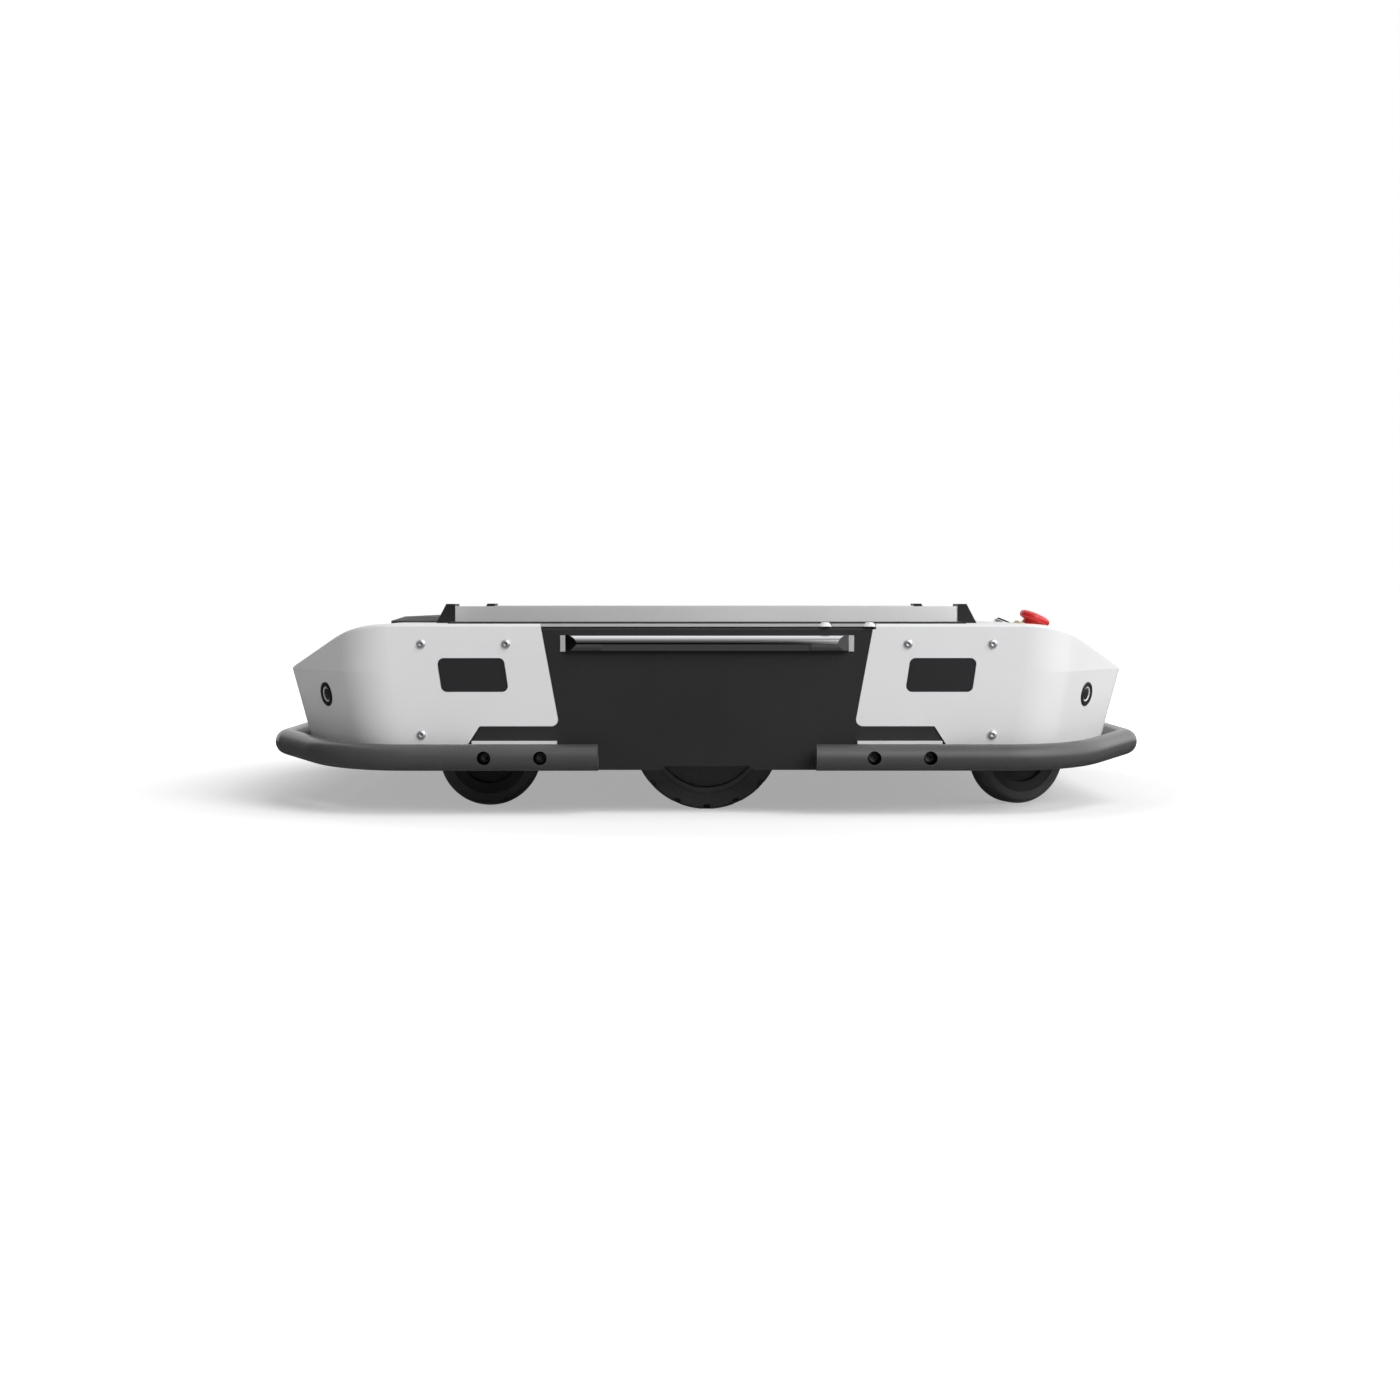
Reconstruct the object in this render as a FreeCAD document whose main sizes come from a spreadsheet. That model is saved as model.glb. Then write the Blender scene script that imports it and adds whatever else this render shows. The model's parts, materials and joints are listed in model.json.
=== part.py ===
import FreeCAD, Part
import math
import os
from types import SimpleNamespace

import Sketcher

# Low two-wheel guided vehicle: +X is forward, +Y is its left side, the floor is at zero
doc = FreeCAD.newDocument("guided_vehicle")
sheet = doc.addObject("Spreadsheet::Sheet", "Sizes")

sizes = {
    # whole body
    "bodyHalfWidth": 262,
    "deckTop": 144.5,
    "panelBottom": 34,
    "seamGap": 0.5,
    # nose shells, front and rear alike
    "shellWall": 3,
    "wingTopEnd": 126,
    "wingFootEnd": 111.8,
    "wingFoot": 67.2,
    "wingFootRadius": 5,
    "notchTop": 172.2,
    "notchFoot": 181.9,
    "shellFoot": 52,
    "beltHeight": 108,
    "noseTip": 331.8,
    "noseTipHeight": 109,
    "hoodCorner": 266.8,
    "hoodRadius": 95,
    "cornerStart": 265.3,
    "cornerEnd": 165,
    "cornerRadius": 46,
    "noseRadius": 20,
    "cornerDraft": 8.6,
    "frontDraft": 16.8,
    "topRounding": 2.5,
    # windows in the wings
    "windowFront": 204.4,
    "windowRear": 153.6,
    "windowTop": 118.8,
    "windowFoot": 93.1,
    "windowSlant": 3.8,
    "windowRadius": 4.6,
    "windowLip": 2.2,
    "windowSink": 0.6,
    # small round parts of the shells
    "screwFront": 216,
    "screwRear": 152,
    "screwUpper": 129.4,
    "screwLower": 60.8,
    "screwHeadRadius": 3.6,
    "screwRadius": 2,
    "screwHoleRadius": 2.2,
    "sensorReach": 295.8,
    "sensorHeight": 89.5,
    "sensorRadius": 9.5,
    "sensorBarrel": 7.8,
    "sensorHole": 8,
    "slopePartReach": 279.6,
    "stopSide": 30,
    "stopHole": 11.2,
    "stopSeat": 16.4,
    "switchSide": 140,
    "switchHole": 8.2,
    "switchSeat": 11,
    "seatRise": 0.5,
    "portHeight": 84,
    "portHole": 10.2,
    # side panels and their polished bars
    "panelThickness": 3,
    "panelTop": 142.3,
    "panelRounding": 2.5,
    "panelNotch": 32,
    "panelNotchDepth": 3,
    "barHalfLength": 111,
    "barFoot": 123.6,
    "barTop": 135.9,
    "barDepth": 9,
    "barHip": 10,
    "barRidge": 129.3,
    "barRounding": 13,
    "barUpright": 3.4,
    "barLean": 1.75,
    "barFlange": 1.2,
    "barLip": 2.6,
    # deck, cover and rails
    "deckThickness": 2,
    "coverFront": 257.3,
    "coverRear": 205,
    "coverHalfWidth": 140,
    "coverHeight": 4.8,
    "coverEdge": 1.3,
    "coverBevel": 10,
    "coverRadius": 14,
    "coverSkirt": 22,
    "railSide": 170,
    "railHalfLength": 198.5,
    "railWidth": 30,
    "railHeight": 12,
    "railNeck": 8.2,
    "railCavity": 17,
    "railBase": 3,
    "railLip": 3.8,
    "seatThickness": 1.2,
    "seatWidth": 32,
    "seatOuter": 238,
    "capTop": 159.6,
    "capTopLength": 7,
    "capFootLength": 15,
    "studInner": 89.3,
    "studOuter": 122.7,
    "studSide": 259.2,
    "studRadius": 5.3,
    "studHeight": 3.4,
    "studGap": 5.6,
    # bumper tubes
    "tubeRadius": 10,
    "tubeWall": 2,
    "tubeSide": 275,
    "tubeHeight": 44.4,
    "tubeEnd": 82,
    "tubeBend": 273.5,
    "tubeFront": 332.5,
    "tubeFrontHalf": 182.9,
    "tubeBendRadius": 85,
    "tubeFrontRadius": 22,
    "tubeRise": 6.2,
    "boltInner": 125,
    "boltOuter": 167,
    "accessRadius": 5.2,
    "boltRadius": 2.5,
    "boltHoleRadius": 2.8,
    "blockInner": 113.5,
    "blockOuter": 177.5,
    "blockFoot": 34.6,
    "blockTop": 56.1,
    "blockDepth": 7,
    # floor pan and caster shelves
    "panFoot": 37,
    "panTop": 40,
    "sheetThickness": 2.5,
    "spineHalfWidth": 94,
    "spineEnd": 302,
    "wheelBay": 66,
    "wheelBayInner": 144,
    "shelfFoot": 107,
    "shelfThickness": 3,
    "shelfEnd": 292,
    # drive wheels, arms and springs
    "driveRadius": 58,
    "driveRim": 44,
    "driveSide": 200,
    "driveHalfWidth": 22,
    "treadNotches": 15,
    "axleBore": 8.1,
    "axleRadius": 8,
    "armInner": 156,
    "armOuter": 168,
    "pivotReach": 95,
    "pivotPinRadius": 6,
    "pivotHoleRadius": 6.1,
    "springReach": 56,
    "springFoot": 71,
    "springRadius": 13,
    "springBore": 7,
    # casters
    "casterReach": 211.7,
    "casterSide": 177,
    "casterTrail": 40,
    "casterRadius": 40,
    "casterRim": 30.5,
    "casterHalfWidth": 11,
    "forkGap": 12.8,
    "forkPlate": 3,
    "crownFoot": 90,
    "crownTop": 95.7,
    "crownRadius": 22,
    "kingpinRadius": 5,
    "kingpinHole": 5.1,
    "casterBolt": 4,
    "casterBoltHole": 4.1,
    "casterTurn": 22,
    # what the body holds
    "batteryHalfLength": 100,
    "batteryHalfWidth": 105,
    "batteryTop": 116,
    "driverRear": 140,
    "driverFront": 285,
    "driverHalfWidth": 78,
    "driverTop": 92,
    "finCount": 12,
}

for row, (alias, number) in enumerate(sizes.items(), start=1):
    sheet.set(f"A{row}", alias)
    sheet.set(f"B{row}", str(number))
    sheet.setAlias(f"B{row}", alias)
doc.recompute()


class Term:
    """A length held both as a number and as the expression that drives it."""

    def __init__(self, text, value):
        self.text = text
        self.value = float(value)

    def joined(self, sign, other, value):
        return Term(f"({self.text} {sign} {other.text})", value)

    def __add__(self, other):
        other = term(other)
        return self.joined("+", other, self.value + other.value)

    def __sub__(self, other):
        other = term(other)
        return self.joined("-", other, self.value - other.value)

    def __mul__(self, other):
        other = term(other)
        return self.joined("*", other, self.value * other.value)

    def __truediv__(self, other):
        other = term(other)
        return self.joined("/", other, self.value / other.value)

    def __radd__(self, other):
        return term(other) + self

    def __rsub__(self, other):
        return term(other) - self

    def __rmul__(self, other):
        return term(other) * self

    def __neg__(self):
        return Term(f"(-{self.text})", -self.value)

    def root(self):
        return Term(f"sqrt({self.text})", math.sqrt(self.value))


def term(number):
    return number if isinstance(number, Term) else Term(str(number), number)


s = SimpleNamespace(**{alias: Term(f"Sizes.{alias}", sheet.get(alias)) for alias in sizes})
finished = {}


def publish(label, item):
    """Names a finished sub-part; the label is also its file's name."""
    item.Label = label
    finished[label] = item
    return item


def newBody(name, placement=None):
    item = doc.addObject("PartDesign::Body", name)
    if placement:
        item.Placement = placement
    return item


def newSketch(owner, role, level):
    item = owner.newObject("Sketcher::SketchObject", "Outline")
    plane = next(p for p in owner.Origin.OriginFeatures if p.Role == role)
    item.AttachmentSupport = (plane, [""])
    item.MapMode = "FlatFace"
    item.setExpression("AttachmentOffset.Base.z", term(level).text)
    return item


def drive(item, index, name, length):
    item.renameConstraint(index, name)
    item.setExpression(f"Constraints.{name}", length.text)


def pin(item, curve, vertex, x, y, number):
    """Holds a point of a sketch at two driven distances from the origin."""
    for kind, axis, length in (("DistanceX", -2, x), ("DistanceY", -1, y)):
        if abs(length.value) < 1e-9:
            item.addConstraint(Sketcher.Constraint("PointOnObject", curve, vertex, axis))
        else:
            rule = Sketcher.Constraint(kind, -1, 1, curve, vertex, length.value)
            drive(item, item.addConstraint(rule), f"{kind}{number}", length)


def drawRuns(item, corners, radii=None, closed=True):
    """Straight runs through the corners; radii gives a corner's number its rounding."""
    corners = [(term(x), term(y)) for x, y in corners]
    spots = [FreeCAD.Vector(x.value, y.value, 0) for x, y in corners]
    count = len(spots)
    runs = count if closed else count - 1
    for run in range(runs):
        item.addGeometry(Part.LineSegment(spots[run], spots[(run + 1) % count]), False)
    for run in range(runs if closed else runs - 1):
        item.addConstraint(Sketcher.Constraint("Coincident", run, 2, (run + 1) % count, 1))
    for number, (x, y) in enumerate(corners):
        run, end = (number, 1) if number < runs else (number - 1, 2)
        pin(item, run, end, x, y, number)
    for number, radius in (radii or {}).items():
        radius = term(radius)
        item.fillet((number - 1) % count, 2, radius.value, True, True)
        arc = item.GeometryCount - 2
        rule = Sketcher.Constraint("Radius", arc, radius.value)
        drive(item, item.addConstraint(rule), f"Radius{number}", radius)


def drawCircles(item, circles):
    for number, (x, y, radius) in enumerate(circles):
        x, y, radius = term(x), term(y), term(radius)
        centre = FreeCAD.Vector(x.value, y.value, 0)
        normal = FreeCAD.Vector(0, 0, 1)
        curve = item.addGeometry(Part.Circle(centre, normal, radius.value), False)
        pin(item, curve, 3, x, y, number)
        rule = Sketcher.Constraint("Radius", curve, radius.value)
        drive(item, item.addConstraint(rule), f"Radius{number}", radius)


def filled(owner, kind, role, low, high, draw, *drawing):
    """Adds or cuts what a sketch covers, from low to high across its plane."""
    low, high = term(low), term(high)
    level = -high if role == "XZ_Plane" else low
    item = newSketch(owner, role, level)
    draw(item, *drawing)
    made = owner.newObject(f"PartDesign::{kind}", kind)
    made.Profile = item
    made.setExpression("Length", (high - low).text)
    made.Reversed = kind == "Pocket"
    return made


def pad(owner, role, low, high, corners, radii=None):
    return filled(owner, "Pad", role, low, high, drawRuns, corners, radii)


def pocket(owner, role, low, high, corners, radii=None):
    return filled(owner, "Pocket", role, low, high, drawRuns, corners, radii)


def boss(owner, role, low, high, circles):
    return filled(owner, "Pad", role, low, high, drawCircles, circles)


def drill(owner, role, low, high, circles):
    return filled(owner, "Pocket", role, low, high, drawCircles, circles)


def revolve(owner, corners, radii=None, role="XZ_Plane"):
    """Turns a half outline about the sketch's upright axis."""
    item = newSketch(owner, role, 0)
    drawRuns(item, corners, radii)
    made = owner.newObject("PartDesign::Revolution", "Revolution")
    made.Profile = item
    made.ReferenceAxis = (item, ["V_Axis"])
    made.Angle = 360
    return made


def loft(owner, role, sections, radii):
    """Ruled loft through outlines, each given with its level."""
    sketches = []
    for level, corners in sections:
        item = newSketch(owner, role, level)
        drawRuns(item, corners, radii)
        sketches.append(item)
    made = owner.newObject("PartDesign::AdditiveLoft", "Loft")
    made.Profile = sketches[0]
    made.Sections = sketches[1:]
    made.Ruled = True
    return made


def boolean(kind, name, base, tool):
    item = doc.addObject(f"Part::{kind}", name)
    item.Base = base
    item.Tool = tool
    return item


def mirrored(label, source, normal):
    item = doc.addObject("Part::Mirroring", label)
    item.Source = source
    item.Normal = normal
    return publish(label, item)


def cylinder(name, radius, length, spot, direction):
    item = doc.addObject("Part::Cylinder", name)
    item.setExpression("Radius", term(radius).text)
    item.setExpression("Height", term(length).text)
    item.Placement = facing(spot, direction)
    return item


def facing(spot, direction):
    """Placement that turns a part's own +Z to a direction."""
    return FreeCAD.Placement(spot, FreeCAD.Rotation(FreeCAD.Vector(0, 0, 1), direction))


def copies(label, shapes):
    """One node of separate like solids."""
    item = doc.addObject("Part::Feature", label)
    item.Shape = Part.makeCompound(shapes)
    return publish(label, item)


acrossX = FreeCAD.Vector(1, 0, 0)
acrossY = FreeCAD.Vector(0, 1, 0)
middle = FreeCAD.Vector(0, 0, 0)


def bothSides(shape):
    return [shape, shape.mirror(middle, acrossY)]


def fourCorners(shape):
    return bothSides(shape) + bothSides(shape.mirror(middle, acrossX))


def aroundMiddle(quarter):
    """Closed outline from its part in the first quarter, mirrored to the other three."""
    right = [(x, -y) for x, y in reversed(quarter)]
    return quarter + right + [(-x, -y) for x, y in quarter] + [(-x, -y) for x, y in right]


def rectangle(halfX, halfY):
    return [(halfX, halfY), (halfX, -halfY), (-halfX, -halfY), (-halfX, halfY)]


# Slopes and directions that several parts share
cornerRunX = s.noseTip - s.cornerStart
cornerRunY = s.bodyHalfWidth - s.cornerEnd
cornerRun = (cornerRunX * cornerRunX + cornerRunY * cornerRunY).root()
cornerNormalX = cornerRunY / cornerRun
cornerNormalY = cornerRunX / cornerRun
hoodSlope = (s.deckTop - s.noseTipHeight) / (s.noseTip - s.hoodCorner)
hoodStretch = (1 + hoodSlope * hoodSlope).root()
draftDepth = s.beltHeight - s.shellFoot
cornerDraftRate = s.cornerDraft / draftDepth
frontDraftRate = s.frontDraft / draftDepth


def noseOutline(back, height, wall):
    """Plan of a nose at a height: side faces, slanted corners and a front, drawn in below the belt."""
    drop = s.beltHeight - height
    side = s.bodyHalfWidth - wall
    tip = s.noseTip - wall - frontDraftRate * drop
    inset = wall + cornerDraftRate * drop
    reach = cornerNormalX * s.cornerStart + cornerNormalY * s.bodyHalfWidth - inset
    start = (reach - cornerNormalY * side) / cornerNormalX
    end = (reach - cornerNormalX * tip) / cornerNormalY
    return [(back, side), (start, side), (tip, end), (tip, -end), (start, -side), (back, -side)]


def noseForm(name, wall, back, foot, profile, radii):
    """A side profile carried across the body, held inside the drafted plan."""
    side = newBody(f"{name}_side")
    half = s.bodyHalfWidth - wall
    pad(side, "XZ_Plane", -half, half, profile, radii)
    plan = newBody(f"{name}_plan")
    belt = noseOutline(back, s.beltHeight, wall)
    rounding = {1: s.cornerRadius - wall, 2: s.noseRadius - wall}
    rounding.update({4: rounding[1], 3: rounding[2]})
    loft(plan, "XY_Plane", [(foot, noseOutline(back, foot, wall)), (s.beltHeight, belt)], rounding)
    pad(plan, "XY_Plane", s.beltHeight, s.deckTop, belt, rounding)
    return boolean("Common", name, side, plan)


def hoodLine(wall, x):
    """Height of the sloping hood at a reach from the middle."""
    return s.noseTipHeight + hoodSlope * (s.noseTip - x) - hoodStretch * wall


def hoodCornerAt(wall):
    return s.noseTip - (s.deckTop - wall - s.noseTipHeight + hoodStretch * wall) / hoodSlope


def roundedTop(form):
    """Rounds the edges where the top and the hood meet the upright faces."""
    doc.recompute()
    rounding = s.topRounding.value
    picked = []
    for number, edge in enumerate(form.Shape.Edges, start=1):
        spot = edge.valueAt((edge.FirstParameter + edge.LastParameter) / 2)
        faces = form.Shape.ancestorsOfType(edge, Part.Face)
        rises = [face.normalAt(*face.Surface.parameter(spot)).z for face in faces]
        if max(rises) > 0.8 and min(rises) < 0.2 and spot.x > s.wingTopEnd.value + 1:
            picked.append((number, rounding, rounding))
    item = doc.addObject("Part::Fillet", f"{form.Name}_rounded")
    item.Base = form
    item.Edges = picked
    return item


def buildShells():
    """Moulded noses with side wings; the rear one mirrors the front one and holds the controls."""
    wall = s.shellWall
    past = s.noseTip + 8
    inside = s.wingFootEnd - 20
    below = s.shellFoot - 10
    outer = noseForm("nose_outer", term(0), inside, s.shellFoot, [
        (s.wingTopEnd, s.deckTop),
        (s.hoodCorner, s.deckTop),
        (past, hoodLine(0, past)),
        (past, s.shellFoot),
        (s.notchFoot, s.shellFoot),
        (s.notchTop, s.wingFoot),
        (s.wingFootEnd, s.wingFoot),
    ], {1: s.hoodRadius, 6: s.wingFootRadius})
    inner = noseForm("nose_inner", wall, inside - 10, below, [
        (inside, s.deckTop - wall),
        (hoodCornerAt(wall), s.deckTop - wall),
        (past, hoodLine(wall, past)),
        (past, below),
        (inside, below),
    ], {1: s.hoodRadius - wall})
    hollow = boolean("Cut", "nose_hollow", roundedTop(outer), inner)
    openings = doc.addObject("Part::Compound", "nose_openings")
    openings.Links = [windowCutter()] + screwHoles() + sensorHoles()
    front = publish("front_shell", boolean("Cut", "front_shell", hollow, openings))
    rear = doc.addObject("Part::Mirroring", "rear_blank")
    rear.Source = front
    rear.Normal = acrossX
    seated = doc.addObject("Part::MultiFuse", "rear_seated")
    seated.Shapes = [
        rear,
        cylinder("stop_seat", s.stopSeat, 4 + s.seatRise, slopeSpot(s.stopSide, -4), slopeNormal),
        cylinder("switch_seat", s.switchSeat, 4 + s.seatRise, slopeSpot(-s.switchSide, -4), slopeNormal),
    ]
    controls = doc.addObject("Part::Compound", "rear_openings")
    controls.Links = [
        cylinder("stop_hole", s.stopHole, 20, slopeSpot(s.stopSide, -10), slopeNormal),
        cylinder("switch_hole", s.switchHole, 20, slopeSpot(-s.switchSide, -10), slopeNormal),
        cylinder("port_hole", s.portHole, 20, portSpot(-10), portNormal),
    ] + studGaps()
    publish("rear_shell", boolean("Cut", "rear_shell", seated, controls))
    return hollow.Base


def studGaps():
    """Room for the studs that stand where the deck meets the rear wings."""
    low = (s.deckTop - s.shellWall - 1).value
    spots = [FreeCAD.Vector(-s.studOuter.value, left * s.studSide.value, low) for left in (1, -1)]
    upward = FreeCAD.Vector(0, 0, 1)
    return [cylinder("stud_gap", s.studGap, s.shellWall + 2, spot, upward) for spot in spots]


def windowOutline(gap):
    """Leaning window in a wing, its corners in from the edge by a gap."""
    return [
        (s.windowFront - gap, s.windowTop - gap),
        (s.windowRear + gap, s.windowTop - gap),
        (s.windowRear - s.windowSlant + gap, s.windowFoot + gap),
        (s.windowFront - s.windowSlant - gap, s.windowFoot + gap),
    ]


def windowCutter():
    cutter = newBody("window_cutter")
    past = s.bodyHalfWidth + 5
    rounding = {corner: s.windowRadius for corner in range(4)}
    pad(cutter, "XZ_Plane", -past, past, windowOutline(0), rounding)
    return cutter


screwSpots = [
    (s.screwFront, s.screwUpper),
    (s.screwRear, s.screwUpper),
    (s.screwFront, s.screwLower),
]


def screwHoles():
    past = s.bodyHalfWidth.value + 5
    length = 2 * s.bodyHalfWidth + 10
    holes = []
    for number, (x, z) in enumerate(screwSpots):
        spot = FreeCAD.Vector(x.value, -past, z.value)
        holes.append(cylinder(f"screw_hole_{number}", s.screwHoleRadius, length, spot, acrossY))
    return holes


cornerNormal = FreeCAD.Vector(cornerNormalX.value, cornerNormalY.value, -cornerDraftRate.value)
cornerNormal.normalize()


def sensorSpot(rise):
    """Middle of the front left corner face, raised along its normal."""
    drop = s.beltHeight - s.sensorHeight
    reach = cornerNormalX * s.cornerStart + cornerNormalY * s.bodyHalfWidth - cornerDraftRate * drop
    side = (reach - cornerNormalX * s.sensorReach) / cornerNormalY
    spot = FreeCAD.Vector(s.sensorReach.value, side.value, s.sensorHeight.value)
    return spot + cornerNormal * rise


def flipY(vector):
    return FreeCAD.Vector(vector.x, -vector.y, vector.z)


def sensorHoles():
    spot = sensorSpot(-10)
    return [
        cylinder("sensor_hole_left", s.sensorHole, 20, spot, cornerNormal),
        cylinder("sensor_hole_right", s.sensorHole, 20, flipY(spot), flipY(cornerNormal)),
    ]


hoodStart = s.hoodCorner - s.hoodRadius * (hoodStretch - 1) / hoodSlope
slopeSine = (s.slopePartReach - hoodStart) / s.hoodRadius
slopeCosine = (1 - slopeSine * slopeSine).root()
slopeNormal = FreeCAD.Vector(-slopeSine.value, 0, slopeCosine.value)
portNormal = FreeCAD.Vector(-1, 0, -frontDraftRate.value)
portNormal.normalize()


def slopeSpot(side, rise):
    """Point on the curve of the rear hood, raised along its normal."""
    height = s.deckTop - s.hoodRadius * (1 - slopeCosine)
    return FreeCAD.Vector(-s.slopePartReach.value, term(side).value, height.value) + slopeNormal * rise


def portSpot(rise):
    """Point on the middle of the rear face below the belt, raised along its normal."""
    reach = s.noseTip - frontDraftRate * (s.beltHeight - s.portHeight)
    return FreeCAD.Vector(-reach.value, 0, s.portHeight.value) + portNormal * rise


def buildWindows():
    """Dark lenses that fill the windows, with a lip behind the wing."""
    lens = newBody("window_lens")
    inner = s.bodyHalfWidth - s.shellWall
    rounding = {corner: s.windowRadius for corner in range(4)}
    pad(lens, "XZ_Plane", inner - 1.2, inner, windowOutline(-s.windowLip), rounding)
    pad(lens, "XZ_Plane", inner, s.bodyHalfWidth - s.windowSink, windowOutline(0.2), rounding)
    doc.recompute()
    copies("side_windows", fourCorners(lens.Shape))


def buildShellScrews():
    """Button heads with a short shank, three on each wing."""
    screw = newBody("shell_screw")
    head = s.screwHeadRadius
    revolve(screw, [
        (0, -5.2),
        (s.screwRadius, -5.2),
        (s.screwRadius, 0),
        (head, 0),
        (head - 0.3, 0.9),
        (head - 1.4, 1.8),
        (0, 2.1),
    ])
    doc.recompute()
    shapes = []
    for x, z in screwSpots:
        shape = screw.Shape.copy()
        shape.Placement = facing(FreeCAD.Vector(x.value, s.bodyHalfWidth.value, z.value), acrossY)
        shapes += fourCorners(shape)
    copies("shell_screws", shapes)


def buildSensors():
    """Round range sensors on the slanted corners, each with a bright ring set in its face."""
    place = facing(sensorSpot(0), cornerNormal)
    barrel = s.sensorBarrel
    recess = barrel - 1.2
    housing = newBody("sensor_housing", place)
    revolve(housing, [
        (0, -14),
        (barrel, -14),
        (barrel, 0),
        (s.sensorRadius, 0),
        (s.sensorRadius, 0.5),
        (s.sensorRadius - 0.6, 1),
        (recess, 1),
        (recess, -0.4),
        (0, -0.4),
    ])
    ring = newBody("sensor_ring", place)
    revolve(ring, [
        (recess - 1.9, -0.4),
        (recess - 0.1, -0.4),
        (recess - 0.1, 0.8),
        (recess - 1.9, 0.4),
    ])
    doc.recompute()
    copies("corner_sensors", fourCorners(housing.Shape))
    copies("sensor_rings", fourCorners(ring.Shape))


def buildSlopeControls():
    """Stop button, power button and charging port on the rear of the vehicle."""
    rise = s.seatRise.value
    place = facing(slopeSpot(s.stopSide, rise), slopeNormal)
    base = publish("estop_base", newBody("estop_base", place))
    revolve(base, [
        (0, -16),
        (s.stopHole - 0.2, -16),
        (s.stopHole - 0.2, 0),
        (14.8, 0),
        (14.8, 2),
        (14, 2.8),
        (9.6, 2.8),
        (9.6, -6),
        (0, -6),
    ])
    button = publish("estop_button", newBody("estop_button", place))
    revolve(button, [
        (0, -1),
        (9.2, -1),
        (9.2, 4),
        (8.4, 6.6),
        (11.8, 7.6),
        (13.4, 9.4),
        (13.4, 11.6),
        (11.8, 13.6),
        (7, 14.8),
        (0, 15.2),
    ])
    place = facing(slopeSpot(-s.switchSide, rise), slopeNormal)
    bezel = publish("power_bezel", newBody("power_bezel", place))
    revolve(bezel, [
        (0, -14),
        (s.switchHole - 0.2, -14),
        (s.switchHole - 0.2, 0),
        (9.6, 0),
        (9.6, 4.9),
        (9, 5.5),
        (7.5, 5.5),
        (7.5, -4),
        (0, -4),
    ])
    cap = publish("power_button", newBody("power_button", place))
    revolve(cap, [(0, -2), (7.2, -2), (7.2, 6.6), (6.6, 7.2), (0, 7.2)])
    port = publish("charge_port", newBody("charge_port", facing(portSpot(0), portNormal)))
    revolve(port, [
        (0, -16),
        (s.portHole - 0.2, -16),
        (s.portHole - 0.2, 0),
        (15, 0),
        (15, 2.4),
        (12, 3),
        (12, 8.6),
        (11, 9.6),
        (0, 9.6),
    ])


def buildSidePanels():
    """Black side panels that fill the space between the wings, with a notch over the wheel hub."""
    gap = s.seamGap
    notch = s.panelNotch
    right = [
        (notch + 4, s.panelBottom),
        (s.notchFoot - 2 * gap, s.panelBottom),
        (s.notchFoot - 2 * gap, s.shellFoot - gap),
        (s.notchTop - 2 * gap, s.wingFoot - gap),
        (s.wingFootEnd - gap, s.wingFoot - gap),
        (s.wingTopEnd - gap, s.panelTop),
    ]
    corners = [(notch, s.panelBottom + s.panelNotchDepth)] + right
    corners += [(-x, z) for x, z in reversed(corners)]
    panel = publish("left_side_panel", newBody("left_side_panel"))
    inner = s.bodyHalfWidth - s.panelThickness
    fillet = s.wingFootRadius + gap
    sheetPad = pad(panel, "XZ_Plane", inner, s.bodyHalfWidth, corners, {5: fillet, 8: fillet})
    doc.recompute()
    top = FreeCAD.Vector(0, s.bodyHalfWidth.value, s.panelTop.value)
    rounded = panel.newObject("PartDesign::Fillet", "TopEdge")
    rounded.Base = (sheetPad, [
        f"Edge{number}" for number, edge in enumerate(sheetPad.Shape.Edges, start=1)
        if edge.distToShape(Part.Vertex(top))[0] < 0.01
    ])
    rounded.setExpression("Radius", s.panelRounding.text)
    panel.Tip = rounded
    mirrored("right_side_panel", panel, acrossY)


def buildSideBars():
    """Polished bars along the top of the side panels: round above, undercut below, slanted at the ends."""
    bar = publish("left_side_bar", newBody("left_side_bar"))
    wall = s.bodyHalfWidth
    face = wall + s.barDepth
    flange = wall + s.barFlange
    end = s.barHalfLength
    pad(bar, "YZ_Plane", -end, end, [
        (wall, s.barFoot),
        (face, s.barRidge),
        (face, s.barRidge + s.barUpright),
        (face - s.barLean, s.barTop),
        (wall, s.barTop),
    ], {2: s.barRounding})
    slant = [
        (end - s.barLip, flange),
        (end + 2, flange),
        (end + 2, face + 2),
        (end - s.barLip - s.barHip, face + 2),
    ]
    for corners in (slant, [(-x, y) for x, y in slant]):
        pocket(bar, "XY_Plane", s.barFoot - 1, s.barTop + 1, corners)
    mirrored("right_side_bar", bar, acrossY)


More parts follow.
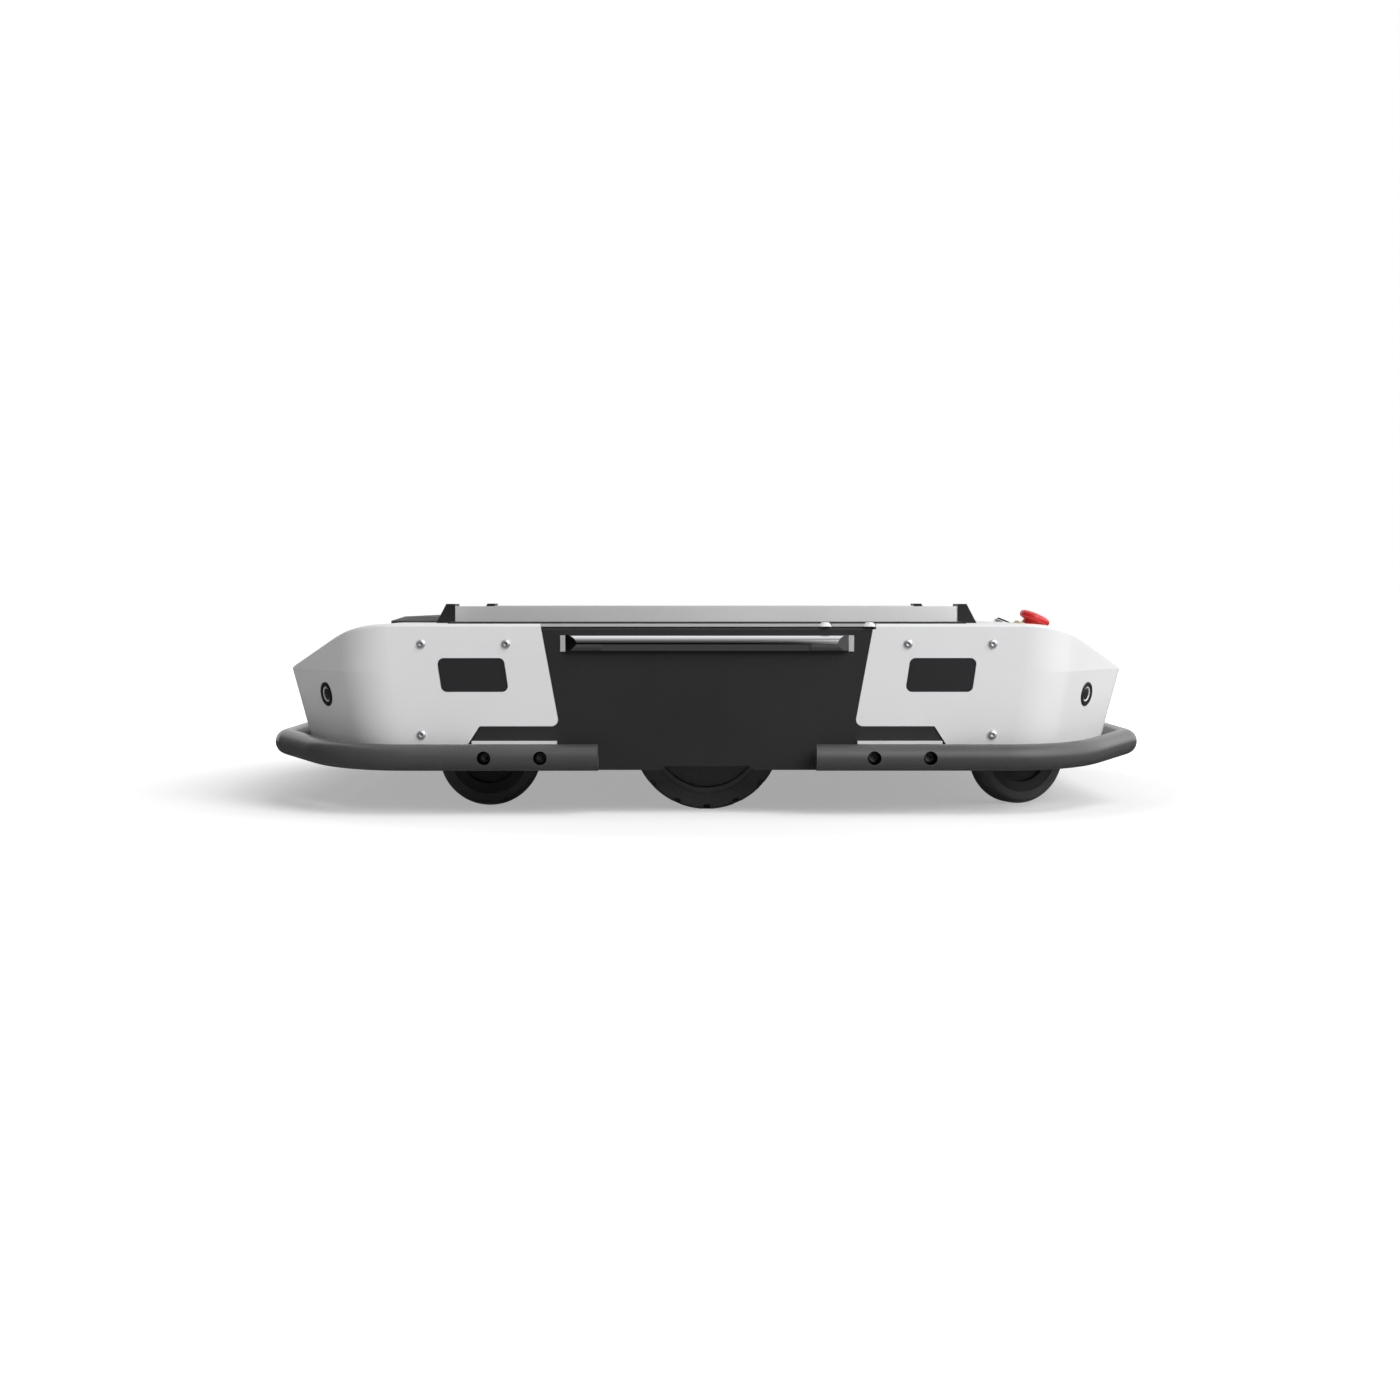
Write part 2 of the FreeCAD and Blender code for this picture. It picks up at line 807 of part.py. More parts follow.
def buildTop(nose):
    """White deck between the shells, and the dark bevelled cover that runs forward along the middle."""
    deck = publish("top_deck", newBody("top_deck"))
    pad(deck, "XY_Plane", s.deckTop - s.deckThickness, s.deckTop,
        rectangle(s.wingTopEnd - s.seamGap, s.bodyHalfWidth - s.seamGap))
    drill(deck, "XY_Plane", s.deckTop - s.deckThickness - 1, s.deckTop + 1, [
        (-reach, side, s.studGap)
        for reach in (s.studInner, s.studOuter)
        for side in (s.studSide, -s.studSide)
    ])
    cover = newBody("cover_blank")
    sections = []
    rounding = {corner: s.coverRadius for corner in range(4)}
    edgeTop = s.deckTop + s.coverEdge
    for level, inset in ((edgeTop, term(0)), (s.deckTop + s.coverHeight, s.coverBevel)):
        side = s.coverHalfWidth - inset
        front = s.coverFront - inset
        rear = inset - s.coverRear
        sections.append((level, [(front, side), (front, -side), (rear, -side), (rear, side)]))
    pad(cover, "XY_Plane", s.deckTop, edgeTop, sections[0][1], rounding)
    loft(cover, "XY_Plane", sections, rounding)
    front, side = sections[0][1][0]
    skirt = [(front, side), (front, -side), (front - s.coverSkirt, -side), (front - s.coverSkirt, side)]
    pad(cover, "XY_Plane", s.deckTop - 2, s.deckTop, skirt, {0: s.coverRadius, 1: s.coverRadius})
    publish("top_cover", boolean("Cut", "top_cover", cover, nose))


def buildRails():
    """Load rails with a T-slot along the top, on dark seats and between sloped end caps."""
    seatTop = s.deckTop + s.seatThickness
    railTop = seatTop + s.railHeight
    length = s.railHalfLength
    lipFoot = railTop - s.railLip
    cavityFoot = seatTop + s.railBase

    def across(width):
        return s.railSide - width / 2, s.railSide + width / 2

    outer, neck, cavity = across(s.railWidth), across(s.railNeck), across(s.railCavity)
    rail = publish("left_rail", newBody("left_rail"))
    pad(rail, "YZ_Plane", -length, length, [
        (outer[0], seatTop),
        (outer[1], seatTop),
        (outer[1], railTop),
        (neck[1], railTop),
        (neck[1], lipFoot),
        (cavity[1], lipFoot),
        (cavity[1], cavityFoot),
        (cavity[0], cavityFoot),
        (cavity[0], lipFoot),
        (neck[0], lipFoot),
        (neck[0], railTop),
        (outer[0], railTop),
    ])
    mirrored("right_rail", rail, acrossY)
    seat = newBody("rail_seat")
    low, high = across(s.seatWidth)
    pad(seat, "XY_Plane", s.deckTop, seatTop,
        [(length, low), (length, s.seatOuter), (-length, s.seatOuter), (-length, low)])
    cap = newBody("rail_end_cap")
    pad(cap, "XZ_Plane", low, high, [
        (length, s.deckTop),
        (length + s.capFootLength, s.deckTop),
        (length + s.capTopLength, s.capTop),
        (length, s.capTop),
    ])
    stud = newBody("deck_stud")
    revolve(stud, [
        (0, 0),
        (s.studRadius, 0),
        (s.studRadius, 0.4),
        (s.studRadius * 0.52, s.studHeight * 0.94),
        (0, s.studHeight),
    ])
    doc.recompute()
    copies("rail_seats", bothSides(seat.Shape))
    copies("rail_end_caps", fourCorners(cap.Shape))
    shapes = []
    deckFoot = s.deckTop - s.deckThickness
    for reach in (s.studInner, s.studOuter):
        shape = stud.Shape.copy()
        shape.Placement.Base = FreeCAD.Vector(-reach.value, s.studSide.value, deckFoot.value)
        shapes += bothSides(shape)
    copies("deck_studs", shapes)


def bentLine(half):
    """Line through points in space and on through their mirror images, rounded at each bend."""
    corners = half + [(flipY(spot), radius) for spot, radius in reversed(half)]
    pieces = []
    last = corners[0][0]
    for number in range(1, len(corners) - 1):
        bend, radius = corners[number]
        back = (corners[number - 1][0] - bend).normalize()
        ahead = (corners[number + 1][0] - bend).normalize()
        halfAngle = back.getAngle(ahead) / 2
        inward = (back + ahead).normalize()
        start = bend + back * (radius / math.tan(halfAngle))
        end = bend + ahead * (radius / math.tan(halfAngle))
        crown = bend + inward * (radius / math.sin(halfAngle) - radius)
        pieces.append(Part.LineSegment(last, start).toShape())
        pieces.append(Part.Arc(start, crown, end).toShape())
        last = end
    pieces.append(Part.LineSegment(last, corners[-1][0]).toShape())
    return Part.Wire(pieces)


def swept(name, path, radius):
    """Round bar of a radius along a path that starts forward."""
    ring = doc.addObject("Part::Circle", f"{name}_ring")
    ring.setExpression("Radius", radius.text)
    ring.Placement = facing(path.Shape.Edges[0].valueAt(path.Shape.Edges[0].FirstParameter), acrossX)
    item = doc.addObject("Part::Sweep", name)
    item.Sections = [ring]
    item.Spine = (path, [f"Edge{number + 1}" for number in range(len(path.Shape.Edges))])
    item.Solid = True
    return item


def buildBumpers():
    """Bent bumper tubes round both noses, bolted from inside the tube through saddle blocks."""
    bolts = [s.boltInner, s.boltOuter]
    side, height = s.tubeSide.value, s.tubeHeight.value
    path = doc.addObject("Part::Feature", "bumper_path")
    raised = height + s.tubeRise.value
    path.Shape = bentLine([
        (FreeCAD.Vector(s.tubeEnd.value, side, height), 0),
        (FreeCAD.Vector(s.tubeBend.value, side, height), s.tubeBendRadius.value),
        (FreeCAD.Vector(s.tubeFront.value, s.tubeFrontHalf.value, raised), s.tubeFrontRadius.value),
    ])
    hollows = [swept("bumper_bore", path, s.tubeRadius - s.tubeWall)]
    for number, x in enumerate(bolts):
        for left in (1, -1):
            spot = FreeCAD.Vector(x.value, left * side, height)
            out = acrossY * left
            reach = s.tubeRadius + 2
            hollows.append(cylinder(f"access_{number}", s.accessRadius, reach, spot, out))
            hollows.append(cylinder(f"bolt_hole_{number}", s.boltHoleRadius, reach, spot, -out))
    bores = doc.addObject("Part::Compound", "bumper_bores")
    bores.Links = hollows
    outer = swept("bumper_outer", path, s.tubeRadius)
    tube = publish("front_bumper", boolean("Cut", "front_bumper", outer, bores))
    mirrored("rear_bumper", tube, acrossX)

    block = newBody("bumper_block")
    blockFace = s.bodyHalfWidth + s.blockDepth
    pad(block, "YZ_Plane", s.blockInner, s.blockOuter, [
        (s.bodyHalfWidth, s.blockFoot),
        (blockFace, s.blockFoot),
        (blockFace, s.blockTop),
        (s.bodyHalfWidth, s.blockTop),
    ])
    drill(block, "YZ_Plane", s.blockInner - 1, s.blockOuter + 1, [(s.tubeSide, s.tubeHeight, s.tubeRadius)])
    drill(block, "XZ_Plane", s.bodyHalfWidth + 0.5, blockFace + 1,
          [(x, s.tubeHeight, s.boltHoleRadius) for x in bolts])
    bolt = newBody("bumper_bolt")
    seat = s.tubeSide - s.tubeRadius + s.tubeWall
    revolve(bolt, [(0, -4), (s.boltRadius, -4), (s.boltRadius, 0), (4.2, 0), (4.2, 4.4), (3.6, 5), (0, 5)])
    doc.recompute()
    copies("bumper_blocks", fourCorners(block.Shape))
    shapes = []
    for x in bolts:
        shape = bolt.Shape.copy()
        # the tube is round, so the flat head stands a little off its inner wall
        spot = FreeCAD.Vector(x.value, seat.value + 1.2, s.tubeHeight.value)
        shape.Placement = facing(spot, acrossY)
        shapes += fourCorners(shape)
    copies("bumper_bolts", shapes)


def buildPan():
    """Cross-shaped floor plate with open caster corners and wheel bays."""
    pan = publish("floor_pan", newBody("floor_pan"))
    side = s.bodyHalfWidth - s.panelThickness
    pad(pan, "XY_Plane", s.panFoot, s.panTop, aroundMiddle([
        (s.wheelBay, s.wheelBayInner),
        (s.wheelBay, side),
        (s.wingTopEnd, side),
        (s.wingTopEnd, s.spineHalfWidth),
        (s.spineEnd, s.spineHalfWidth),
    ]))


def buildUprights():
    """Posts that carry the deck behind the side panels, and the walls of the trays between the casters."""
    gauge = s.sheetThickness
    side = s.bodyHalfWidth - s.panelThickness
    deckFoot = s.deckTop - s.deckThickness
    post = newBody("side_post")
    pad(post, "XZ_Plane", side - gauge, side, [
        (s.wheelBay, s.panTop),
        (s.notchTop - 1, s.panTop),
        (s.notchTop - 1, s.wingFoot - 3),
        (s.wingTopEnd - 1, s.wingFoot - 3),
        (s.wingTopEnd - 1, deckFoot),
        (s.wheelBay, deckFoot),
    ])
    tray = newBody("tray_walls")
    half = s.spineHalfWidth
    inner = half - gauge
    pad(tray, "XY_Plane", s.panTop, s.shelfFoot, [
        (s.wingTopEnd, half),
        (s.spineEnd, half),
        (s.spineEnd, -half),
        (s.wingTopEnd, -half),
        (s.wingTopEnd, -inner),
        (s.spineEnd - gauge, -inner),
        (s.spineEnd - gauge, inner),
        (s.wingTopEnd, inner),
    ])
    doc.recompute()
    copies("frame_uprights", fourCorners(post.Shape) + [tray.Shape, tray.Shape.mirror(middle, acrossX)])


def buildShelves():
    """Raised shelves that carry the casters, each with an outer flange that the wing screws into."""
    shelf = newBody("caster_shelf")
    outer = s.bodyHalfWidth - s.shellWall
    inner = s.spineHalfWidth - s.sheetThickness
    shelfTop = s.shelfFoot + s.shelfThickness
    pad(shelf, "XY_Plane", s.shelfFoot, shelfTop, [
        (s.wingTopEnd, inner),
        (s.shelfEnd, inner),
        (s.shelfEnd, outer - 47),
        (s.shelfEnd - 24, outer - 19),
        (s.shelfEnd - 56, outer),
        (s.wingTopEnd, outer),
    ])
    windowGap = s.windowLip + 2
    flangeTop = s.deckTop - s.shellWall - 2
    pad(shelf, "XZ_Plane", outer - s.sheetThickness, outer, [
        (s.wingTopEnd + 2, s.shelfFoot),
        (s.windowRear - s.windowSlant - windowGap, s.shelfFoot),
        (s.windowRear - s.windowSlant - windowGap, s.windowTop + windowGap),
        (s.windowFront + windowGap, s.windowTop + windowGap),
        (s.windowFront + windowGap, s.screwLower - 5),
        (s.screwFront + 14, s.screwLower - 5),
        (s.screwFront + 14, flangeTop),
        (s.wingTopEnd + 2, flangeTop),
    ])
    # the sheet is cut away behind the window, so its lens has room
    pocket(shelf, "XY_Plane", s.shelfFoot - 1, shelfTop + 1, [
        (s.windowRear - s.windowSlant - windowGap, outer - s.sheetThickness - 1),
        (s.windowFront + windowGap, outer - s.sheetThickness - 1),
        (s.windowFront + windowGap, outer + 1),
        (s.windowRear - s.windowSlant - windowGap, outer + 1),
    ])
    drill(shelf, "XZ_Plane", outer - s.sheetThickness - 1, outer + 1,
          [(x, z, s.screwHoleRadius) for x, z in screwSpots])
    doc.recompute()
    copies("caster_shelves", fourCorners(shelf.Shape))


def casterPlacement(forward, left, turn=0):
    spot = FreeCAD.Vector(forward * s.casterReach.value, left * s.casterSide.value, 0)
    return FreeCAD.Placement(spot, FreeCAD.Rotation(FreeCAD.Vector(0, 0, 1), turn))


def buildCasterHeads():
    """Fixed top of each caster: plate, raceway housing and kingpin with its nut."""
    shapes = []
    head = newBody("caster_head")
    revolve(head, [
        (0, s.crownFoot - 7),
        (8, s.crownFoot - 7),
        (8, s.crownFoot - 0.3),
        (s.kingpinRadius, s.crownFoot - 0.3),
        (s.kingpinRadius, s.crownTop + 0.3),
        (s.crownRadius + 1, s.crownTop + 0.3),
        (s.crownRadius + 1, s.shelfFoot - 5),
        (s.crownRadius - 2, s.shelfFoot - 3),
        (0, s.shelfFoot - 3),
    ])
    pad(head, "XY_Plane", s.shelfFoot - 3, s.shelfFoot, rectangle(30, 30), {n: 5 for n in range(4)})
    doc.recompute()
    for forward in (1, -1):
        for left in (1, -1):
            shape = head.Shape.copy()
            shape.Placement = casterPlacement(forward, left)
            shapes.append(shape)
    copies("caster_heads", shapes)


def buildCaster(name, place):
    """Swivelling fork with its axle bolt, and the wheel that trails behind the swivel."""
    inner = s.forkGap
    outer = s.forkGap + s.forkPlate
    fork = publish(f"{name}_fork", newBody(f"{name}_fork", place))
    boss(fork, "XY_Plane", s.crownFoot, s.crownTop, [(0, 0, s.crownRadius)])
    axle = (-s.casterTrail, s.casterRadius)
    legTop = s.crownTop - 1
    leg = [
        (15, legTop),
        (-20, legTop),
        (axle[0] - 10, axle[1]),
        (axle[0], axle[1] - 7),
        (axle[0] + 10, axle[1] - 2),
    ]
    for low, high in ((inner, outer), (-outer, -inner)):
        pad(fork, "XZ_Plane", low, high, leg)
        boss(fork, "XZ_Plane", low, high, [(*axle, 10)])
    drill(fork, "XY_Plane", s.crownFoot - 1, s.crownTop + 1, [(0, 0, s.kingpinHole)])
    drill(fork, "XZ_Plane", -outer - 1, outer + 1, [(*axle, s.casterBoltHole)])

    wheelPlace = place.multiply(FreeCAD.Placement(
        FreeCAD.Vector(-s.casterTrail.value, 0, s.casterRadius.value), FreeCAD.Rotation()))
    bolt = publish(f"{name}_axle", newBody(f"{name}_axle", wheelPlace))
    half = s.casterHalfWidth
    rim = s.casterRim
    revolve(bolt, [
        (0, -outer - 3),
        (6.5, -outer - 3),
        (6.5, -outer),
        (s.casterBolt, -outer),
        (s.casterBolt, outer),
        (6.5, outer),
        (6.5, outer + 3),
        (0, outer + 3),
    ], role="XY_Plane")
    core = publish(f"{name}_core", newBody(f"{name}_core", wheelPlace))
    revolve(core, [
        (s.casterBoltHole, -half),
        (10, -half),
        (12, -half + 5),
        (rim - 9, -half + 5),
        (rim - 8, -half + 1),
        (rim, -half + 1),
        (rim, half - 1),
        (rim - 8, half - 1),
        (rim - 9, half - 5),
        (12, half - 5),
        (10, half),
        (s.casterBoltHole, half),
    ], role="XY_Plane")
    tyre = publish(f"{name}_tyre", newBody(f"{name}_tyre", wheelPlace))
    tread = s.casterRadius
    revolve(tyre, [
        (rim, -half + 0.5),
        (rim + 3, -half),
        (tread - 3, -half),
        (tread, -half + 5),
        (tread, half - 5),
        (tread - 3, half),
        (rim + 3, half),
        (rim, half - 0.5),
    ], {2: 3, 3: 5, 4: 5, 5: 3}, role="XY_Plane")


def buildDrive():
    """Hub-motor wheels on swing arms; the right side mirrors the left."""
    spot = FreeCAD.Vector(0, s.driveSide.value, s.driveRadius.value)
    place = FreeCAD.Placement(spot, FreeCAD.Rotation())
    half = s.driveHalfWidth
    rim = s.driveRim
    hub = publish("left_drive_hub", newBody("left_drive_hub", place))
    revolve(hub, [
        (s.axleBore, -half + 3),
        (rim - 5, -half + 3),
        (rim - 3, -half + 0.5),
        (rim, -half + 0.5),
        (rim, half - 0.5),
        (rim - 3, half - 0.5),
        (rim - 4, half - 4),
        (24, half - 6),
        (20, half - 2),
        (12, half - 1),
        (0, half - 1),
        (0, half - 8),
        (s.axleBore, half - 8),
    ], role="XY_Plane")
    tyre = publish("left_drive_tyre", newBody("left_drive_tyre", place))
    tread = s.driveRadius
    revolve(tyre, [
        (rim, -half + 0.5),
        (rim + 2, -half),
        (tread - 2, -half + 1),
        (tread, -half + 5),
        (tread, half - 5),
        (tread - 2, half - 1),
        (rim + 2, half),
        (rim, half - 0.5),
    ], {3: 5, 4: 5}, role="XY_Plane")
    cutNotches(tyre, half - 8, half + 1)
    cutNotches(tyre, -half - 1, -half + 8)

    arm = publish("left_swing_arm", newBody("left_swing_arm"))
    pivot = (s.pivotReach, s.driveRadius)
    axle = (term(0), s.driveRadius)
    springEnd = -s.springReach - 16
    pad(arm, "XZ_Plane", s.armInner, s.armOuter, [
        (s.pivotReach, s.driveRadius + 14),
        (20, s.driveRadius + 18),
        (-s.springReach + 16, s.springFoot),
        (springEnd, s.springFoot),
        (springEnd, s.springFoot - 9),
        (-24, s.driveRadius - 15),
        (0, s.driveRadius - 18),
        (s.pivotReach, s.driveRadius - 10),
    ], {2: 12, 5: 20})
    boss(arm, "XZ_Plane", s.armInner, s.armOuter, [(*pivot, 14)])
    middleSide = (s.armInner + s.armOuter) / 2
    pad(arm, "XY_Plane", s.springFoot - 4, s.springFoot, [
        (springEnd, middleSide - 14),
        (springEnd + 32, middleSide - 14),
        (springEnd + 32, middleSide + 14),
        (springEnd, middleSide + 14),
    ])
    drill(arm, "XZ_Plane", s.armInner - 1, s.armOuter + 1, [(*pivot, s.pivotHoleRadius), (*axle, 7)])

    shaft = publish("left_drive_axle", newBody("left_drive_axle", place))
    armInner = s.armInner - s.driveSide
    armOuter = s.armOuter - s.driveSide
    revolve(shaft, [
        (0, armInner - 9),
        (12, armInner - 9),
        (12, armInner),
        (7, armInner),
        (7, armOuter),
        (11, armOuter),
        (11, -half + 1),
        (s.axleRadius, -half + 1),
        (s.axleRadius, half - 9),
        (0, half - 9),
    ], role="XY_Plane")

    spring = publish("left_spring", newBody("left_spring", FreeCAD.Placement(
        FreeCAD.Vector(-s.springReach.value, middleSide.value, 0), FreeCAD.Rotation())))
    springTop = s.deckTop - s.deckThickness
    waist = s.springRadius - 3
    fold = (springTop - s.springFoot) / 6
    bellows = [(s.springBore, s.springFoot), (s.springRadius, s.springFoot)]
    for number in range(1, 6):
        bellows.append((waist if number % 2 else s.springRadius, s.springFoot + number * fold))
    bellows += [(waist, springTop), (s.springBore, springTop)]
    revolve(spring, bellows)

    for kind in ("drive_hub", "drive_tyre", "swing_arm", "drive_axle", "spring"):
        mirrored(f"right_{kind}", finished[f"left_{kind}"], acrossY)


def cutNotches(tyre, low, high):
    """Open notches round one shoulder of the drive tyre."""
    notch = pocket(tyre, "XZ_Plane", low, high, [
        (-2.4, 4 - s.driveRadius),
        (2.4, 4 - s.driveRadius),
        (3, -s.driveRadius - 1),
        (-3, -s.driveRadius - 1),
    ])
    ring = tyre.newObject("PartDesign::PolarPattern", "Notches")
    ring.Originals = [notch]
    axis = next(a for a in tyre.Origin.OriginFeatures if a.Role == "Y_Axis")
    ring.Axis = (axis, [""])
    ring.Angle = 360
    ring.setExpression("Occurrences", s.treadNotches.text)
    tyre.Tip = ring


def buildPivots():
    """Welded brackets and pins on which the swing arms turn."""
    bracket = newBody("pivot_bracket")
    reach = s.pivotReach
    gap = 1.5
    ear = 8
    inner = s.armInner - gap
    outer = s.armOuter + gap
    baseTop = s.panTop + 2.5
    pad(bracket, "XY_Plane", s.panTop, baseTop, [
        (reach - 22, inner - ear),
        (reach + 22, inner - ear),
        (reach + 22, outer + ear),
        (reach - 22, outer + ear),
    ])
    for low, high in ((inner - ear, inner), (outer, outer + ear)):
        pad(bracket, "XZ_Plane", low, high, [
            (reach - 20, s.panTop + 1),
            (reach + 20, s.panTop + 1),
            (reach + 13, s.driveRadius + 13),
            (reach - 13, s.driveRadius + 13),
        ], {2: 12, 3: 12})
    drill(bracket, "XZ_Plane", inner - ear - 1, outer + ear + 1,
          [(reach, s.driveRadius, s.pivotHoleRadius)])
    pivotPin = newBody("pivot_pin", FreeCAD.Placement(
        FreeCAD.Vector(reach.value, 0, s.driveRadius.value), FreeCAD.Rotation()))
    revolve(pivotPin, [
        (0, inner - ear - 3),
        (9, inner - ear - 3),
        (9, inner - ear),
        (s.pivotPinRadius, inner - ear),
        (s.pivotPinRadius, outer + ear),
        (9, outer + ear),
        (9, outer + ear + 3),
        (0, outer + ear + 3),
    ], role="XY_Plane")
    doc.recompute()
    copies("pivot_brackets", bothSides(bracket.Shape))
    copies("pivot_pins", bothSides(pivotPin.Shape))


def buildInside():
    """Battery in the middle of the floor, and the finned motor driver in front of it."""
    battery = publish("battery_pack", newBody("battery_pack"))
    length, width = s.batteryHalfLength, s.batteryHalfWidth
    rounding = {corner: 8 for corner in range(4)}
    pad(battery, "XY_Plane", s.panTop, s.batteryTop, rectangle(length, width), rounding)
    pad(battery, "XY_Plane", s.batteryTop, s.batteryTop + 6, rectangle(length - 8, width - 8), rounding)
    driver = publish("motor_driver", newBody("motor_driver"))
    half = s.driverHalfWidth
    base = s.driverTop - 16
    count = sizes["finCount"]
    pitch = 2 * half / (2 * count - 1)
    comb = [(-half, s.panTop), (half, s.panTop)]
    for fin in range(count):
        right = half - 2 * fin * pitch
        left = right - pitch
        comb += [(right, s.driverTop), (left, s.driverTop)]
        if fin < count - 1:
            comb += [(left, base), (left - pitch, base)]
    pad(driver, "YZ_Plane", s.driverRear, s.driverFront, comb)


noseSolid = buildShells()
buildWindows()
buildShellScrews()
buildSensors()
buildSlopeControls()
buildSidePanels()
buildSideBars()
buildTop(noseSolid)
buildRails()
buildBumpers()
buildPan()
buildUprights()
buildShelves()
buildCasterHeads()
for casterName, casterForward, casterLeft, casterRest in (
    ("front_left_caster", 1, 1, 0),
    ("front_right_caster", 1, -1, 0),
    ("rear_left_caster", -1, 1, s.casterTurn.value),
    ("rear_right_caster", -1, -1, 0),
):
    buildCaster(casterName, casterPlacement(casterForward, casterLeft, casterRest))
buildDrive()
buildPivots()
buildInside()
doc.recompute()

# Nothing is written unless every object and every shape came out well
for item in doc.Objects:
    if "Invalid" in item.State or "Error" in item.State:
        raise RuntimeError(f"{item.Name} failed: {item.State}")
    if item.TypeId == "PartDesign::Pocket" and item.BaseFeature:
        removed = item.BaseFeature.Shape.Volume - item.Shape.Volume
        if removed < 0.1:
            raise RuntimeError(f"{item.Name} cuts nothing")
for label, item in finished.items():
    if item.Shape.isNull() or not item.Shape.isValid():
        raise RuntimeError(f"{label} has no valid shape")

os.makedirs("parts", exist_ok=True)
for label, item in finished.items():
    item.Shape.exportStep(f"parts/{label}.step")
print(len(finished), "sub-parts written")
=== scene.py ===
import json
import math

import bpy
import numpy as np
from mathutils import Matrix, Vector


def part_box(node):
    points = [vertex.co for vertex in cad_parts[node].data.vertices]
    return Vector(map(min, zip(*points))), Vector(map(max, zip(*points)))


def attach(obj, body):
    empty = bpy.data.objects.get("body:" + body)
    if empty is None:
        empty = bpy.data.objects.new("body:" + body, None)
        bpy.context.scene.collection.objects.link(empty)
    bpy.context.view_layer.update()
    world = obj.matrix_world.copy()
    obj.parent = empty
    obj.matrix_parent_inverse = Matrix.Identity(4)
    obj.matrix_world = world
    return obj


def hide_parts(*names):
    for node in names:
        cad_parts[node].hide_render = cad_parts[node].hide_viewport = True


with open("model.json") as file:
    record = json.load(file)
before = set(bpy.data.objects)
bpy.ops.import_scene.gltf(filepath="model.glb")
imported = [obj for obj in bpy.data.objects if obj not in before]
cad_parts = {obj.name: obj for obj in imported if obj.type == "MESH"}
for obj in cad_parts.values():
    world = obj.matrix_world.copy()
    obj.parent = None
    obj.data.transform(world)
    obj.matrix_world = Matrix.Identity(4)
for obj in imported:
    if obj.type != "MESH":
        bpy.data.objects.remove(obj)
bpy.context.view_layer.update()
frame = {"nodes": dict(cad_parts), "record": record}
nodes = frame["nodes"]
print("frame loaded:", len(nodes), "nodes")


# Finishes: every one is a node tree on Object coordinates, so a pattern stays on its piece.
plainLook = {  # what a finish has where it says nothing else; sizes in metres
    "driftSize": 0.11, "stretch": (1, 1, 1), "shift": 0.05, "speckle": 0.25, "speckleTone": 0.8,
    "wornReach": 0.0009, "wornAmount": 0.5, "bump": 0.3, "depth": 0.0002,
    "metal": 0.0, "gloss": 0.5, "coat": 0.0, "coatRough": 0.15, "brushed": 0.0, "brushTurn": 0.0,
}
noiseLook = {
    "detail": 3.0, "driftDetail": 5.0,
    "driftSpan": (0.3, 0.7), "fineSpan": (0.35, 0.65), "rubSpan": (0.35, 0.6),  # the part of the noise that is used
    "driftPart": 0.6, "finePart": 0.4,  # how much each noise has to say about the roughness
}
wearLook = {"samples": 4, "flat": 0.99, "turned": 0.8}  # cosines of the lean where the wear starts and is full
dustLook = {"facing": (0.2, 1.0), "size": 0.02, "detail": 6.0, "span": (0.42, 0.68), "colour": (0.36, 0.35, 0.33, 1.0)}


def put(tree, kind, values=None, **settings):
    # one node; settings go on the node, values on its sockets, and a socket given as a value is linked
    node = tree.nodes.new(kind)
    for key, value in settings.items():
        setattr(node, key, value)
    for key, value in (values or {}).items():
        if isinstance(value, bpy.types.NodeSocket):
            tree.links.new(value, node.inputs[key])
        else:
            node.inputs[key].default_value = value
    return node


def grain(tree, size, stretch=plainLook["stretch"], detail=noiseLook["detail"]):
    # soft noise whose blotches are about size metres across, drawn out along an axis by stretch
    place = put(tree, "ShaderNodeTexCoord").outputs["Object"]
    scale = tuple(1.0 / (size * part) for part in stretch)
    turned = put(tree, "ShaderNodeMapping", {"Vector": place, "Scale": scale}).outputs[0]
    noise = put(tree, "ShaderNodeTexNoise", {"Vector": turned, "Scale": 1.0, "Detail": detail})
    return noise.outputs["Fac"]


def spread(tree, value, fromLow, fromHigh, low, high):
    # the value's span is laid onto another span and cut off at its ends
    names = ("From Min", "From Max", "To Min", "To Max")
    spans = dict(zip(names, (fromLow, fromHigh, low, high)))
    return put(tree, "ShaderNodeMapRange", {"Value": value, **spans}, clamp=True).outputs[0]


def sums(tree, how, first, second):
    return put(tree, "ShaderNodeMath", {0: first, 1: second}, operation=how).outputs[0]


def tint(tree, amount, first, second):
    # colours mixed by an amount from 0 to 1; inputs 6 and 7 are the colour sockets
    return put(tree, "ShaderNodeMix", {0: amount, 6: first, 7: second}, data_type="RGBA").outputs[2]


def shade(colour, part):
    return tuple(min(1.0, channel * part) for channel in colour) + (1.0,)


def edgeMask(tree, reach):
    # 1 along outer edges: there the rounded normal leans away from the face's own normal
    rounded = put(tree, "ShaderNodeBevel", {"Radius": reach}, samples=wearLook["samples"]).outputs[0]
    flat = put(tree, "ShaderNodeNewGeometry").outputs["Normal"]
    lean = put(tree, "ShaderNodeVectorMath", {0: rounded, 1: flat}, operation="DOT_PRODUCT").outputs["Value"]
    return spread(tree, lean, wearLook["flat"], wearLook["turned"], 0.0, 1.0)


def dustMask(tree):
    # more on faces that look up, broken by noise
    normal = put(tree, "ShaderNodeNewGeometry").outputs["Normal"]
    up = put(tree, "ShaderNodeSeparateXYZ", {0: normal}).outputs["Z"]
    lying = spread(tree, up, *dustLook["facing"], 0.0, 1.0)
    patches = grain(tree, dustLook["size"], detail=dustLook["detail"])
    return sums(tree, "MULTIPLY", lying, spread(tree, patches, *dustLook["span"], 0.0, 1.0))


